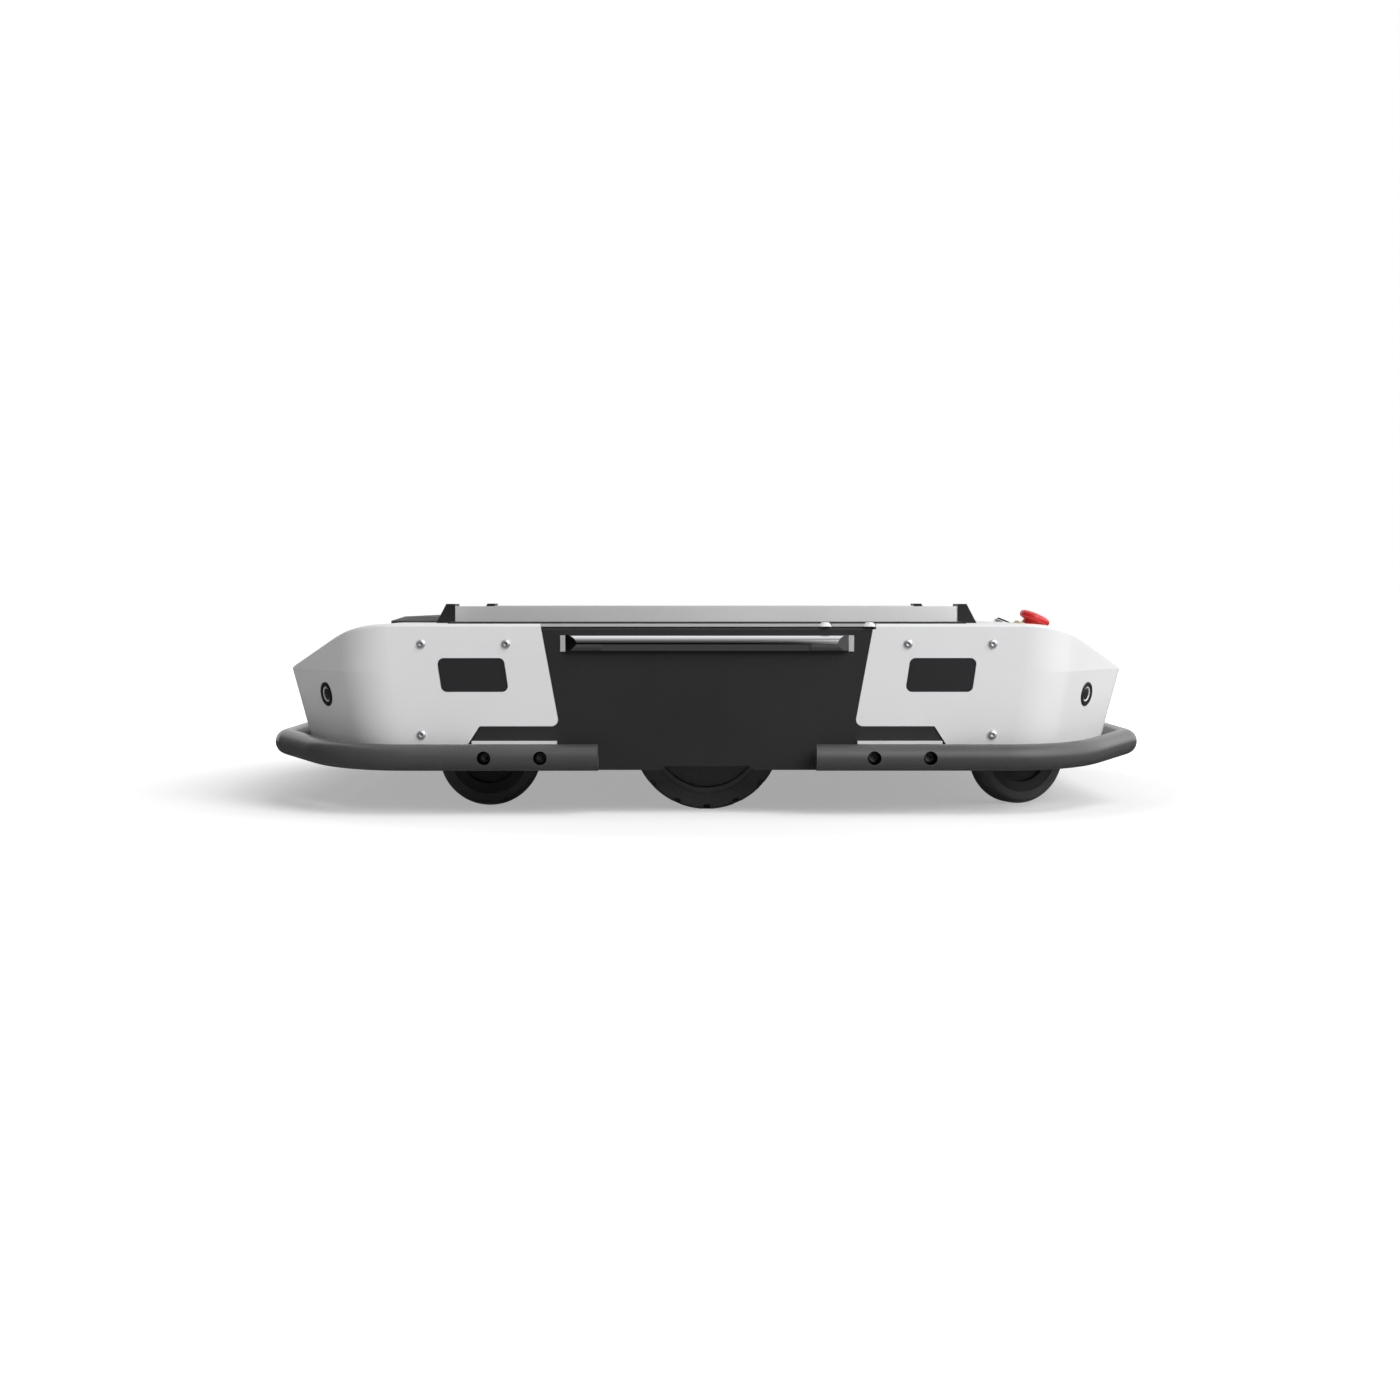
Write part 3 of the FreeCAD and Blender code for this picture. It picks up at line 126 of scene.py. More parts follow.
def makeFinish(name, look):
    # colour drifts slowly, a fine grain gives the bump, edges wear and upper faces take some dust
    look = {**plainLook, **look}
    finish = bpy.data.materials.new(name)
    finish.use_nodes = True
    tree = finish.node_tree
    tree.nodes.clear()
    drift = grain(tree, look["driftSize"], detail=noiseLook["driftDetail"])
    fine = grain(tree, look["grainSize"], look["stretch"])
    tone, shift = look["tone"], look["shift"]
    slow = spread(tree, drift, *noiseLook["driftSpan"], 0.0, 1.0)
    colour = tint(tree, slow, shade(tone, 1 - shift), shade(tone, 1 + shift))
    speckle = spread(tree, fine, *noiseLook["fineSpan"], 0.0, look["speckle"])
    colour = tint(tree, speckle, colour, shade(tone, look["speckleTone"]))
    if "worn" in look:
        broken = spread(tree, drift, *noiseLook["rubSpan"], 0.0, look["wornAmount"])
        rubbed = sums(tree, "MULTIPLY", edgeMask(tree, look["wornReach"]), broken)
        colour = tint(tree, rubbed, colour, look["worn"] + (1.0,))
    if "dust" in look:
        lying = sums(tree, "MULTIPLY", dustMask(tree), look["dust"])
        colour = tint(tree, lying, colour, dustLook["colour"])
    slowPart = sums(tree, "MULTIPLY", drift, noiseLook["driftPart"])
    finePart = sums(tree, "MULTIPLY", fine, noiseLook["finePart"])
    rough = spread(tree, sums(tree, "ADD", slowPart, finePart), *noiseLook["fineSpan"], *look["rough"])
    raised = {"Height": fine, "Strength": look["bump"], "Distance": look["depth"]}
    bump = put(tree, "ShaderNodeBump", raised).outputs[0]
    shader = put(tree, "ShaderNodeBsdfPrincipled", {
        "Base Color": colour, "Roughness": rough, "Normal": bump, "Metallic": look["metal"],
        "Specular IOR Level": look["gloss"], "Coat Weight": look["coat"], "Coat Roughness": look["coatRough"],
        "Anisotropic": look["brushed"], "Anisotropic Rotation": look["brushTurn"],
    })
    put(tree, "ShaderNodeOutputMaterial", {"Surface": shader.outputs[0]})
    return finish


finishes = {
    "white_shell": {"tone": (0.80, 0.80, 0.81), "shift": 0.012, "grainSize": 0.0007, "speckle": 0.05,
                    "speckleTone": 0.93, "rough": (0.34, 0.46), "bump": 0.05, "depth": 0.0001,
                    "worn": (0.9, 0.9, 0.9), "wornAmount": 0.25},
    "deck_grey": {"tone": (0.46, 0.46, 0.465), "shift": 0.03, "grainSize": 0.0008, "speckle": 0.1, "speckleTone": 0.9,
                  "rough": (0.4, 0.52), "bump": 0.08, "worn": (0.6, 0.6, 0.6), "wornAmount": 0.3},
    "black_panel": {"tone": (0.024, 0.024, 0.025), "shift": 0.08, "grainSize": 0.0006, "speckle": 0.4,
                    "rough": (0.42, 0.58), "gloss": 0.22, "bump": 0.22, "depth": 0.00015, "worn": (0.07, 0.07, 0.07),
                    "wornAmount": 0.5},
    "dark_cover": {"tone": (0.05, 0.05, 0.052), "shift": 0.06, "grainSize": 0.0009, "speckle": 0.5,
                   "rough": (0.5, 0.66), "gloss": 0.35, "bump": 0.4, "dust": 0.05},
    "rail_aluminium": {"tone": (0.86, 0.86, 0.86), "shift": 0.03, "grainSize": 0.0004, "stretch": (60, 1, 1),
                       "speckle": 0.2, "speckleTone": 0.9, "rough": (0.42, 0.5), "metal": 0.4, "bump": 0.05,
                       "brushed": 0.8, "brushTurn": 0.25, "worn": (0.9, 0.9, 0.9)},
    "black_plastic": {"tone": (0.014, 0.014, 0.015), "shift": 0.08, "grainSize": 0.0005, "speckle": 0.3,
                      "rough": (0.4, 0.55), "gloss": 0.3, "bump": 0.2, "worn": (0.05, 0.05, 0.05), "wornAmount": 0.3},
    "tube_grey": {"tone": (0.072, 0.072, 0.072), "shift": 0.06, "grainSize": 0.0008, "speckle": 0.2,
                  "rough": (0.28, 0.4), "gloss": 0.4, "bump": 0.08, "coat": 0.35, "coatRough": 0.25,
                  "worn": (0.18, 0.18, 0.18), "wornAmount": 0.4},
    "polished_bar": {"tone": (0.8, 0.8, 0.82), "shift": 0.02, "grainSize": 0.0006, "stretch": (40, 1, 1),
                     "speckle": 0.1, "rough": (0.05, 0.1), "metal": 1.0, "bump": 0.002},
    "bright_steel": {"tone": (0.76, 0.76, 0.78), "shift": 0.03, "grainSize": 0.0004, "speckle": 0.15,
                     "rough": (0.28, 0.38), "metal": 0.85, "bump": 0.03},
    "white_plastic": {"tone": (0.8, 0.8, 0.8), "shift": 0.02, "grainSize": 0.0005, "speckle": 0.08,
                      "rough": (0.3, 0.42), "bump": 0.06},
    "smoked_window": {"tone": (0.03, 0.03, 0.032), "shift": 0.05, "grainSize": 0.002, "speckle": 0.1,
                      "rough": (0.12, 0.2), "gloss": 0.3, "bump": 0.01, "coat": 0.1, "coatRough": 0.08},
    "block_white": {"tone": (0.84, 0.84, 0.84), "shift": 0.03, "grainSize": 0.0008, "speckle": 0.1,
                    "rough": (0.4, 0.55), "bump": 0.12, "worn": (0.5, 0.5, 0.5), "wornAmount": 0.3},
    "bolt_steel": {"tone": (0.2, 0.2, 0.21), "shift": 0.1, "grainSize": 0.0006, "speckle": 0.3, "rough": (0.3, 0.45),
                   "metal": 1.0, "bump": 0.08, "worn": (0.5, 0.5, 0.5), "wornAmount": 0.6},
    "fork_steel": {"tone": (0.5, 0.5, 0.51), "shift": 0.08, "grainSize": 0.0015, "speckle": 0.3, "rough": (0.3, 0.46),
                   "metal": 1.0, "bump": 0.06, "worn": (0.7, 0.7, 0.7)},
    "pan_steel": {"tone": (0.04, 0.04, 0.042), "shift": 0.1, "grainSize": 0.0008, "speckle": 0.4,
                  "rough": (0.45, 0.62), "gloss": 0.3, "bump": 0.2, "dust": 0.2, "worn": (0.12, 0.12, 0.12)},
    "drive_rubber": {"tone": (0.052, 0.052, 0.052), "shift": 0.15, "driftSize": 0.03, "grainSize": 0.0009,
                     "speckle": 0.5, "speckleTone": 1.5, "rough": (0.7, 0.9), "gloss": 0.25, "bump": 0.35,
                     "dust": 0.15},
    "caster_rubber": {"tone": (0.08, 0.08, 0.08), "shift": 0.15, "driftSize": 0.03, "grainSize": 0.0008,
                      "speckle": 0.4, "speckleTone": 1.4, "rough": (0.6, 0.8), "gloss": 0.3, "bump": 0.25,
                      "dust": 0.15},
    "hub_casting": {"tone": (0.08, 0.08, 0.081), "shift": 0.1, "grainSize": 0.0012, "speckle": 0.4,
                    "rough": (0.45, 0.6), "gloss": 0.3, "bump": 0.3, "worn": (0.14, 0.14, 0.14)},
    "caster_core": {"tone": (0.035, 0.035, 0.036), "shift": 0.08, "grainSize": 0.0006, "speckle": 0.3,
                    "rough": (0.42, 0.55), "gloss": 0.3, "bump": 0.15},
    "battery_case": {"tone": (0.035, 0.042, 0.055), "shift": 0.08, "grainSize": 0.0008, "speckle": 0.3,
                     "rough": (0.5, 0.65), "bump": 0.3, "dust": 0.15},
    "driver_case": {"tone": (0.3, 0.3, 0.31), "shift": 0.05, "grainSize": 0.0006, "stretch": (20, 1, 1),
                    "speckle": 0.2, "rough": (0.35, 0.5), "metal": 1.0, "bump": 0.06},
    "stop_red": {"tone": (0.7, 0.018, 0.018), "shift": 0.06, "driftSize": 0.02, "grainSize": 0.0005, "speckle": 0.12,
                 "rough": (0.25, 0.36), "bump": 0.04, "coat": 0.2},
    "stop_yellow": {"tone": (0.72, 0.62, 0.3), "shift": 0.05, "driftSize": 0.02, "grainSize": 0.0005, "speckle": 0.12,
                    "rough": (0.3, 0.42), "bump": 0.05},
    "spring_rubber": {"tone": (0.26, 0.07, 0.03), "shift": 0.1, "grainSize": 0.0008, "speckle": 0.3,
                      "rough": (0.4, 0.55), "bump": 0.15},
}
made = {slot: makeFinish(slot, look) for slot, look in finishes.items()}
for row in frame["record"]["subparts"]:
    mesh = nodes[row["node"]].data
    mesh.materials.clear()
    mesh.materials.append(made[row["material_slot"]])
print("finishes on the CAD nodes:", len(made))


# Turned pieces: screws, bolts, lenses and buttons, in millimetres along their own axis
mm = 0.001
bothWays = (-1.0, 1.0)
hands = ((1.0, "left"), (-1.0, "right"))
turnedLook = {
    "around": 48, "flats": 6,  # points round a ring, and sides of a socket or a bolt head
    "sharp": 38.0,  # degrees between faces from which an edge is shown sharp
    "upright": 0.95,  # an axis that rises more than this takes X, not Z, to find its side
}


def hexShape(angle):
    # how far a hexagon stands out at an angle: one over the cosine of the angle from the nearest flat's middle
    flat = 2.0 * math.pi / turnedLook["flats"]
    return 1.0 / np.cos((angle + flat / 2) % flat - flat / 2)


def turnedSkin(look):
    # point (row, angle) is the row's radius, times its share of the hexagon, swung round the axis at the row's height;
    # neighbouring rings are joined by quads, and a fan of triangles closes each end on a pole
    radius, height, share = np.array(look["profile"], float).T
    around = look.get("around", turnedLook["around"])
    angle = np.arange(around) * 2.0 * math.pi / around
    reach = radius[:, None] * (1.0 + share[:, None] * (hexShape(angle)[None, :] - 1.0))
    lift = np.repeat(height[:, None], around, axis=1)
    rings = np.stack([reach * np.cos(angle), reach * np.sin(angle), lift], axis=-1)
    rows = len(radius)
    poles = np.array([[0.0, 0.0, height[0]], [0.0, 0.0, height[-1]]])
    here = np.arange(rows * around).reshape(rows, around)
    after = np.roll(here, -1, axis=1)
    quads = np.stack([here[:-1], after[:-1], after[1:], here[1:]], axis=-1).reshape(-1, 4)
    if look.get("hoop"):  # a hoop's last ring joins its first, with no poles
        seam = np.stack([here[-1], after[-1], after[0], here[0]], axis=-1)
        return rings.reshape(-1, 3) * mm, np.concatenate([quads, seam]), np.zeros((0, 3), int)
    low = np.stack([after[0], here[0], np.full(around, rows * around)], axis=-1)
    high = np.stack([here[-1], after[-1], np.full(around, rows * around + 1)], axis=-1)
    return np.concatenate([rings.reshape(-1, 3), poles]) * mm, quads, np.concatenate([low, high])


def addMesh(name, points, faces, body, slot, replaced=()):
    mesh = bpy.data.meshes.new(name)
    mesh.from_pydata(points.reshape(-1, 3).tolist(), [], faces)
    mesh.shade_smooth()
    mesh.set_sharp_from_angle(angle=math.radians(turnedLook["sharp"]))
    mesh.materials.append(made[slot])
    piece = bpy.data.objects.new(name, mesh)
    bpy.context.scene.collection.objects.link(piece)
    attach(piece, body)
    if replaced:
        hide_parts(*replaced)


def addTurned(name, look, places, body, slot, replaced=()):
    # each place is a spot and an axis; a copy's own axis is laid on it, and its side axis is square to it
    points, quads, fans = turnedSkin(look)
    spots = np.array([spot for spot, axis in places])
    axes = np.array([axis for spot, axis in places], float)
    axes /= np.linalg.norm(axes, axis=1, keepdims=True)
    aside = np.where(np.abs(axes[:, 2:]) > turnedLook["upright"], (1.0, 0.0, 0.0), (0.0, 0.0, 1.0))
    sideways = np.cross(aside, axes)
    sideways /= np.linalg.norm(sideways, axis=1, keepdims=True)
    turns = np.stack([sideways, np.cross(axes, sideways), axes], axis=1)
    placed = spots[:, None, :] + points @ turns
    step = (np.arange(len(places)) * len(points))[:, None, None]
    faces = (quads + step).reshape(-1, 4).tolist() + (fans + step).reshape(-1, 3).tolist()
    addMesh(name, placed, faces, body, slot, replaced)


# profile rows: radius, height, share of the hexagon
screwHead = {
    "spots": ((216.0, 129.4), (152.0, 129.4), (216.0, 60.8)), "side": 262.0,
    "profile": ((2.0, -5.0, 0), (2.0, 0, 0), (3.6, 0, 0), (3.6, 0.35, 0), (3.46, 0.85, 0), (3.12, 1.35, 0),
                (2.6, 1.78, 0), (2.05, 2.02, 0), (1.95, 2.05, 0), (1.55, 2.1, 1), (1.45, 1.98, 1), (1.45, 0.7, 1),
                (0.5, 0.45, 0)),
}
addTurned("screwHeads", screwHead, [
    ((end * along * mm, side * screwHead["side"] * mm, height * mm), (0, side, 0))
    for along, height in screwHead["spots"] for end in bothWays for side in bothWays
], "chassis", "bright_steel", ("shell_screws",))

bumperBolt = {
    "spots": (125.0, 167.0), "side": 268.2, "height": 44.4,
    "profile": ((2.5, -14.0, 0), (2.5, 0, 0), (4.2, 0, 0), (4.2, 4.5, 0), (4.05, 4.85, 0), (3.7, 5.0, 0),
                (2.7, 5.0, 0), (2.25, 4.95, 1), (2.1, 4.75, 1), (2.1, 1.9, 1), (0.7, 1.5, 0)),
}
addTurned("bumperBolts", bumperBolt, [
    ((end * along * mm, side * bumperBolt["side"] * mm, bumperBolt["height"] * mm), (0, side, 0))
    for along in bumperBolt["spots"] for end in bothWays for side in bothWays
], "chassis", "bolt_steel", ("bumper_bolts",))

sensorLens = {
    "spot": (295.8, 212.5, 89.5), "axis": (0.815, 0.559, -0.152),
    "profile": ((4.6, -0.4, 0), (4.6, -0.1, 0), (4.2, 0.1, 0), (3.2, 0.28, 0), (1.8, 0.38, 0), (0.6, 0.42, 0)),
}
sensorPlaces = [
    (np.array(sensorLens["spot"]) * (end, side, 1) * mm, np.array(sensorLens["axis"]) * (end, side, 1))
    for end in bothWays for side in bothWays
]
addTurned("sensorLenses", sensorLens, sensorPlaces, "chassis", "smoked_window")

sensorRim = {"hoop": True, "middle": 5.5, "half": 0.7, "rise": 1.1, "foot": -0.4, "rows": 9}
# a half round: the middle radius plus the half width times the cosine, and over the foot the half width times rise
# and the sine
rimTurn = np.linspace(0.0, math.pi, sensorRim["rows"])
sensorRim["profile"] = np.stack([
    sensorRim["middle"] + sensorRim["half"] * np.cos(rimTurn),
    sensorRim["foot"] + sensorRim["rise"] * sensorRim["half"] * np.sin(rimTurn),
    np.zeros(sensorRim["rows"]),
], axis=-1)
# the rims take white plastic, so the whole ring shows bright: a painted highlight standing in for the glint that a dark
# rim reflects
addTurned("sensorRims", sensorRim, sensorPlaces, "chassis", "white_plastic", ("sensor_rings",))

rearSlope = {"along": -279.6, "height": 136.98, "axis": (-0.39, 0.0, 0.921), "rise": 0.5}


def slopeSpot(side):
    lean = np.array(rearSlope["axis"])
    spot = np.array((rearSlope["along"], side, rearSlope["height"])) + lean * rearSlope["rise"]
    return [(spot * mm, lean)]


stopHead = {
    "side": 30.0, "around": 72,
    "profile": ((9.2, -1.0, 0), (9.2, 4.0, 0), (8.8, 5.4, 0), (8.5, 6.3, 0), (8.6, 6.8, 0), (9.6, 7.1, 0),
                (11.2, 7.4, 0), (12.3, 7.9, 0), (13.0, 8.7, 0), (13.4, 9.8, 0), (13.4, 11.2, 0), (13.1, 12.2, 0),
                (12.4, 13.1, 0), (11.2, 13.8, 0), (9.4, 14.3, 0), (7.4, 14.65, 0), (6.6, 14.72, 0), (6.4, 14.5, 0),
                (6.0, 14.5, 0), (5.8, 14.8, 0), (3.0, 15.08, 0), (1.0, 15.18, 0)),
}
addTurned("stopHead", stopHead, slopeSpot(stopHead["side"]), "stop_plunger", "stop_red", ("estop_button",))

powerCap = {
    "side": -140.0,
    "profile": ((7.2, -2.0, 0), (7.2, 6.5, 0), (6.95, 7.0, 0), (6.4, 7.2, 0), (5.6, 7.15, 0), (4.4, 6.85, 0),
                (2.5, 6.66, 0), (0.8, 6.6, 0)),
}
addTurned("powerCap", powerCap, slopeSpot(powerCap["side"]), "power_plunger", "black_plastic", ("power_button",))

hubBolt = {
    "count": 6, "ring": 15.0, "face": 220.6, "axleHeight": 58.0,
    "profile": ((1.5, -3.0, 0), (1.5, -0.3, 0), (2.6, -0.3, 0), (2.6, 2.0, 0), (2.4, 2.3, 0), (2.2, 2.4, 0),
                (1.7, 2.4, 0), (1.35, 2.35, 1), (1.25, 2.2, 1), (1.25, 0.9, 1), (0.4, 0.7, 0)),
}
hubAngle = np.arange(hubBolt["count"]) * 2.0 * math.pi / hubBolt["count"]
for side, hand in hands:
    addTurned(hand + "HubBolts", hubBolt, [
        (np.array((hubBolt["ring"] * math.cos(turn), side * hubBolt["face"],
                   hubBolt["axleHeight"] + hubBolt["ring"] * math.sin(turn))) * mm, (0, side, 0))
        for turn in hubAngle
    ], hand + "_drive_wheel", "bolt_steel")

casterBolt = {
    "turned": {"rear_left": 22.0},  # degrees that a caster stands away from straight ahead at rest
    "profile": ((5.2, -18.8, 0), (5.6, -18.3, 1), (5.6, -15.8, 1), (4.0, -15.8, 0), (4.0, 15.8, 0), (5.6, 15.8, 1),
                (5.6, 18.3, 1), (5.2, 18.8, 0)),
}
for corner in ("front_left", "front_right", "rear_left", "rear_right"):
    low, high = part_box(corner + "_caster_axle")
    turn = math.radians(casterBolt["turned"].get(corner, 0.0))
    place = ((np.array(low) + np.array(high)) / 2, (-math.sin(turn), math.cos(turn), 0))
    addTurned(corner + "CasterBolt", casterBolt, [place], corner + "_swivel", "bolt_steel", (corner + "_caster_axle",))

coverScrew = {
    "along": (226.0, 120.0, 10.0, -90.0, -180.0), "side": 118.0, "top": 149.3,
    "profile": ((3.2, -1.5, 0), (3.2, 0.1, 0), (3.0, 0.3, 0), (1.9, 0.34, 0), (1.45, 0.32, 1), (1.3, 0.2, 1),
                (1.3, -0.7, 1), (0.4, -0.9, 0)),
}
addTurned("coverScrews", coverScrew, [
    ((along * mm, side * coverScrew["side"] * mm, coverScrew["top"] * mm), (0, 0, 1))
    for along in coverScrew["along"] for side in bothWays
], "chassis", "bolt_steel")

panBolt = {
    "along": (285.0, 200.0, 110.0), "side": 80.0, "foot": 37.0,
    "profile": ((2.5, -2.0, 0), (2.5, 0, 0), (4.6, 0, 0), (4.5, 0.7, 0), (3.9, 1.5, 0), (2.9, 2.0, 0), (2.5, 2.1, 0),
                (1.9, 2.1, 1), (1.75, 1.95, 1), (1.75, 0.8, 1), (0.6, 0.6, 0)),
}
addTurned("panBolts", panBolt, [
    ((end * along * mm, side * panBolt["side"] * mm, panBolt["foot"] * mm), (0, 0, -1))
    for along in panBolt["along"] for end in bothWays for side in bothWays
], "chassis", "bolt_steel")

railScrew = {
    "along": (150.0, 50.0), "floor": 3.0,
    "profile": ((2.0, -1.0, 0), (2.0, 0, 0), (3.6, 0, 0), (3.6, 1.1, 0), (3.3, 1.4, 0), (2.2, 1.45, 0), (1.6, 1.4, 1),
                (1.5, 1.25, 1), (1.5, 0.4, 1), (0.5, 0.3, 0)),
}
for _, hand in hands:
    low, high = np.array(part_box(hand + "_rail"))
    addTurned(hand + "RailScrews", railScrew, [
        ((end * along * mm, (low[1] + high[1]) / 2, low[2] + railScrew["floor"] * mm), (0, 0, 1))
        for along in railScrew["along"] for end in bothWays
    ], "chassis", "bolt_steel")
print("turned pieces added")


# Side bars: a hipped bar with a bowed upper face, and a plate at each end
sideBar = {
    "wall": 262.0, "depth": 9.0, "sunk": -0.2,  # the panel's face, and how far the bar stands out and reaches in
    "foot": 124.4, "footDepth": 4.6, "ridge": 129.2, "top": 136.2,
    "leanLow": -1.0, "leanHigh": 66.0,  # degrees that the upper face looks up, at the ridge and at the top
    "steps": 15, "footRise": 0.2, "topRise": 0.05,  # rows of the bow, and the drop and rise of its back at the panel
    "apex": 98.2, "hipGap": 0.01,  # where the hip starts, and the least room between its bend and the plate
    "plateInner": 107.0, "plateOuter": 111.0, "plateDepth": 1.2, "plateFoot": 123.6, "plateTop": 135.9,
    "chamfer": 0.7, "chamferBow": 0.2, "plateBevel": 0.3,
}


def loopFaces(rows, columns, turned):
    # rows go round a closed loop, columns along it; both ends are closed by one face each
    here = np.arange(rows * columns).reshape(rows, columns)
    after = np.roll(here, -1, axis=0)
    quads = np.stack([here[:, :-1], after[:, :-1], after[:, 1:], here[:, 1:]], axis=-1).reshape(-1, 4)
    faces = quads.tolist() + [here[::-1, 0].tolist(), here[:, -1].tolist()]
    return [face[::-1] for face in faces] if turned else faces


def barPoints(look):
    # the upper face's depth falls by the sum of the lean's tangent over each small rise, the lean growing evenly;
    # each row of the loop runs from plate to plate, and its bend is where the hip's slant cuts that depth
    share = np.linspace(0.0, 1.0, look["steps"])
    rise = look["top"] - look["ridge"]
    lean = np.tan(np.radians(look["leanLow"] + (look["leanHigh"] - look["leanLow"]) * share))
    fall = np.concatenate([[0.0], np.cumsum((lean[1:] + lean[:-1]) / 2 * rise / (look["steps"] - 1))])
    depth = np.concatenate([[look["sunk"], look["footDepth"]], look["depth"] - fall, [look["sunk"]]])
    under = [look["foot"] - look["footRise"], look["foot"]]
    height = np.concatenate([under, look["ridge"] + rise * share, [look["top"] + look["topRise"]]])
    slant = (look["plateInner"] - look["apex"]) / (look["depth"] - look["plateDepth"])
    bend = np.minimum(look["apex"] + (look["depth"] - depth) * slant, look["plateInner"] - look["hipGap"])
    edge = np.full_like(depth, look["plateInner"])
    along = np.stack([-edge, -bend, bend, edge], axis=1)
    low = np.minimum(depth, look["plateDepth"])
    out = np.stack([low, depth, depth, low], axis=1) + look["wall"]
    return along, out, np.repeat(height[:, None], 4, axis=1)


def platePoints(look, end):
    # a chamfered plate: the loop is its outline in plan, and the columns go up through a small chamfer at each end
    inner, outer, deep = look["plateInner"], look["plateOuter"], look["plateDepth"]
    cut, bow, bevel = look["chamfer"], look["chamferBow"], look["plateBevel"]
    plan = np.array([(inner, look["sunk"]), (inner, deep), (outer - cut, deep), (outer - bow, deep - bow),
                     (outer, deep - cut), (outer, look["sunk"])])
    height = np.array([look["plateFoot"], look["plateFoot"] + bevel, look["plateTop"] - bevel, look["plateTop"]])
    inset = np.array([bevel, 0.0, 0.0, bevel])
    along = np.repeat(plan[:, :1], 4, axis=1) * end
    out = np.maximum(plan[:, 1:] - inset, look["sunk"]) + look["wall"]
    return along, out, np.repeat(height[None, :], len(plan), axis=0)


for side, hand in hands:
    along, out, up = barPoints(sideBar)
    addMesh(hand + "Bar", np.stack([along, side * out, up], axis=-1) * mm, loopFaces(*along.shape, side < 0),
            "chassis", "polished_bar", (hand + "_side_bar",))
    for end, place in ((1.0, "Front"), (-1.0, "Rear")):
        along, out, up = platePoints(sideBar, end)
        addMesh(hand + "BarPlate" + place, np.stack([along, side * out, up], axis=-1) * mm,
                loopFaces(*along.shape, side * end > 0), "chassis", "deck_grey")
print("side bars added")


# Floor, world, cards, lamps and camera
floorLook = {
    "reach": 60.0, "tone": 0.7,
    "near": 0.4, "far": 0.75, "lift": 0.38,  # the glow that is seen grows from lift to white between two distances
}
worldLook = {"ambient": 0.075, "shown": 1.0}
cardLook = {
    "reach": 2.7, "top": 4.5,  # the wall's distance and height
    "right": -130.0, "left": 125.0, "steps": 73,  # its ends in degrees from +Y to +X, and its columns
    "dark": 6.0, "clear": 120.0,  # degrees up where the wall's fade starts, and where it would be white
    "openStart": -0.2, "openEnd": -0.6, "openFoot": 0.2, "openTop": 0.5,  # it opens towards the key lamp,
    "openGlow": 1.5, "openLow": 0.1,  # with this strength above and below
    "footGlow": 0.06, "footLow": 0.0, "footHigh": 0.06,  # a dim strip along the wall's foot
    "floorGlow": 0.06, "floorNear": 1.6, "floorFar": 3.2,  # the floor's glow goes out between two distances
    "floorSpan": (-6.0, 6.0), "floorHeight": 0.002,
    "roofStart": 2.2, "roofEnd": -0.9, "roofDim": 0.27,  # the ceiling brightens from the front to the back
    "roofAcross": (-1.2, 2.7), "roofForth": (-1.5, 2.7),
}
lampAim = (0.0, 0.0, 0.08)
lamps = {  # shines: whether reflections see the lamp
    "keyLamp": {"place": (-3.6, 4.9, 5.1), "size": 5.6, "watts": 530.0, "shines": True},
    "topLamp": {"place": (0.0, 0.0, 2.6), "size": 3.0, "watts": 14.0, "shines": False},
    "sideLamp": {"place": (-3.0, 0.3, 1.1), "size": 1.2, "watts": 24.0, "shines": True},
    "fillLamp": {"place": (3.6, 1.4, 0.4), "size": 1.6, "watts": 18.0, "shines": False},
}
cameraLook = {"place": (0.009807, 1.89114, 0.161), "down": 2.599, "right": 0.1573, "lens": 55.46, "sensor": 36.0}


def seenRay(tree):
    # 1 for camera, glossy and transmission rays, so the background looks the same in metal and glass
    path = put(tree, "ShaderNodeLightPath").outputs
    either = sums(tree, "MAXIMUM", path["Is Camera Ray"], path["Is Glossy Ray"])
    return sums(tree, "MAXIMUM", either, path["Is Transmission Ray"])


def buildFloor():
    reach = floorLook["reach"]
    mesh = bpy.data.meshes.new("floor")
    corners = [(-reach, -reach, 0), (reach, -reach, 0), (reach, reach, 0), (-reach, reach, 0)]
    mesh.from_pydata(corners, [], [(0, 1, 2, 3)])
    floor = bpy.data.objects.new("floor", mesh)
    bpy.context.scene.collection.objects.link(floor)
    finish = bpy.data.materials.new("floorWhite")
    finish.use_nodes = True
    tree = finish.node_tree
    tree.nodes.clear()
    place = put(tree, "ShaderNodeTexCoord").outputs["Object"]
    away = put(tree, "ShaderNodeVectorMath", {0: place}, operation="LENGTH").outputs["Value"]
    lift = spread(tree, away, floorLook["near"], floorLook["far"], floorLook["lift"], 1.0)
    tone = floorLook["tone"]
    matt = put(tree, "ShaderNodeBsdfDiffuse", {"Color": (tone, tone, tone, 1.0)}).outputs[0]
    glow = put(tree, "ShaderNodeEmission", {"Strength": sums(tree, "MULTIPLY", lift, seenRay(tree))}).outputs[0]
    both = put(tree, "ShaderNodeAddShader", {0: matt, 1: glow}).outputs[0]
    put(tree, "ShaderNodeOutputMaterial", {"Surface": both})
    mesh.materials.append(finish)


def buildWorld():
    world = bpy.data.worlds.new("studio")
    world.use_nodes = True
    tree = world.node_tree
    tree.nodes.clear()
    strength = spread(tree, seenRay(tree), 0.0, 1.0, worldLook["ambient"], worldLook["shown"])
    light = put(tree, "ShaderNodeBackground", {"Color": (1, 1, 1, 1), "Strength": strength}).outputs[0]
    put(tree, "ShaderNodeOutputWorld", {"Surface": light})
    bpy.context.scene.world = world


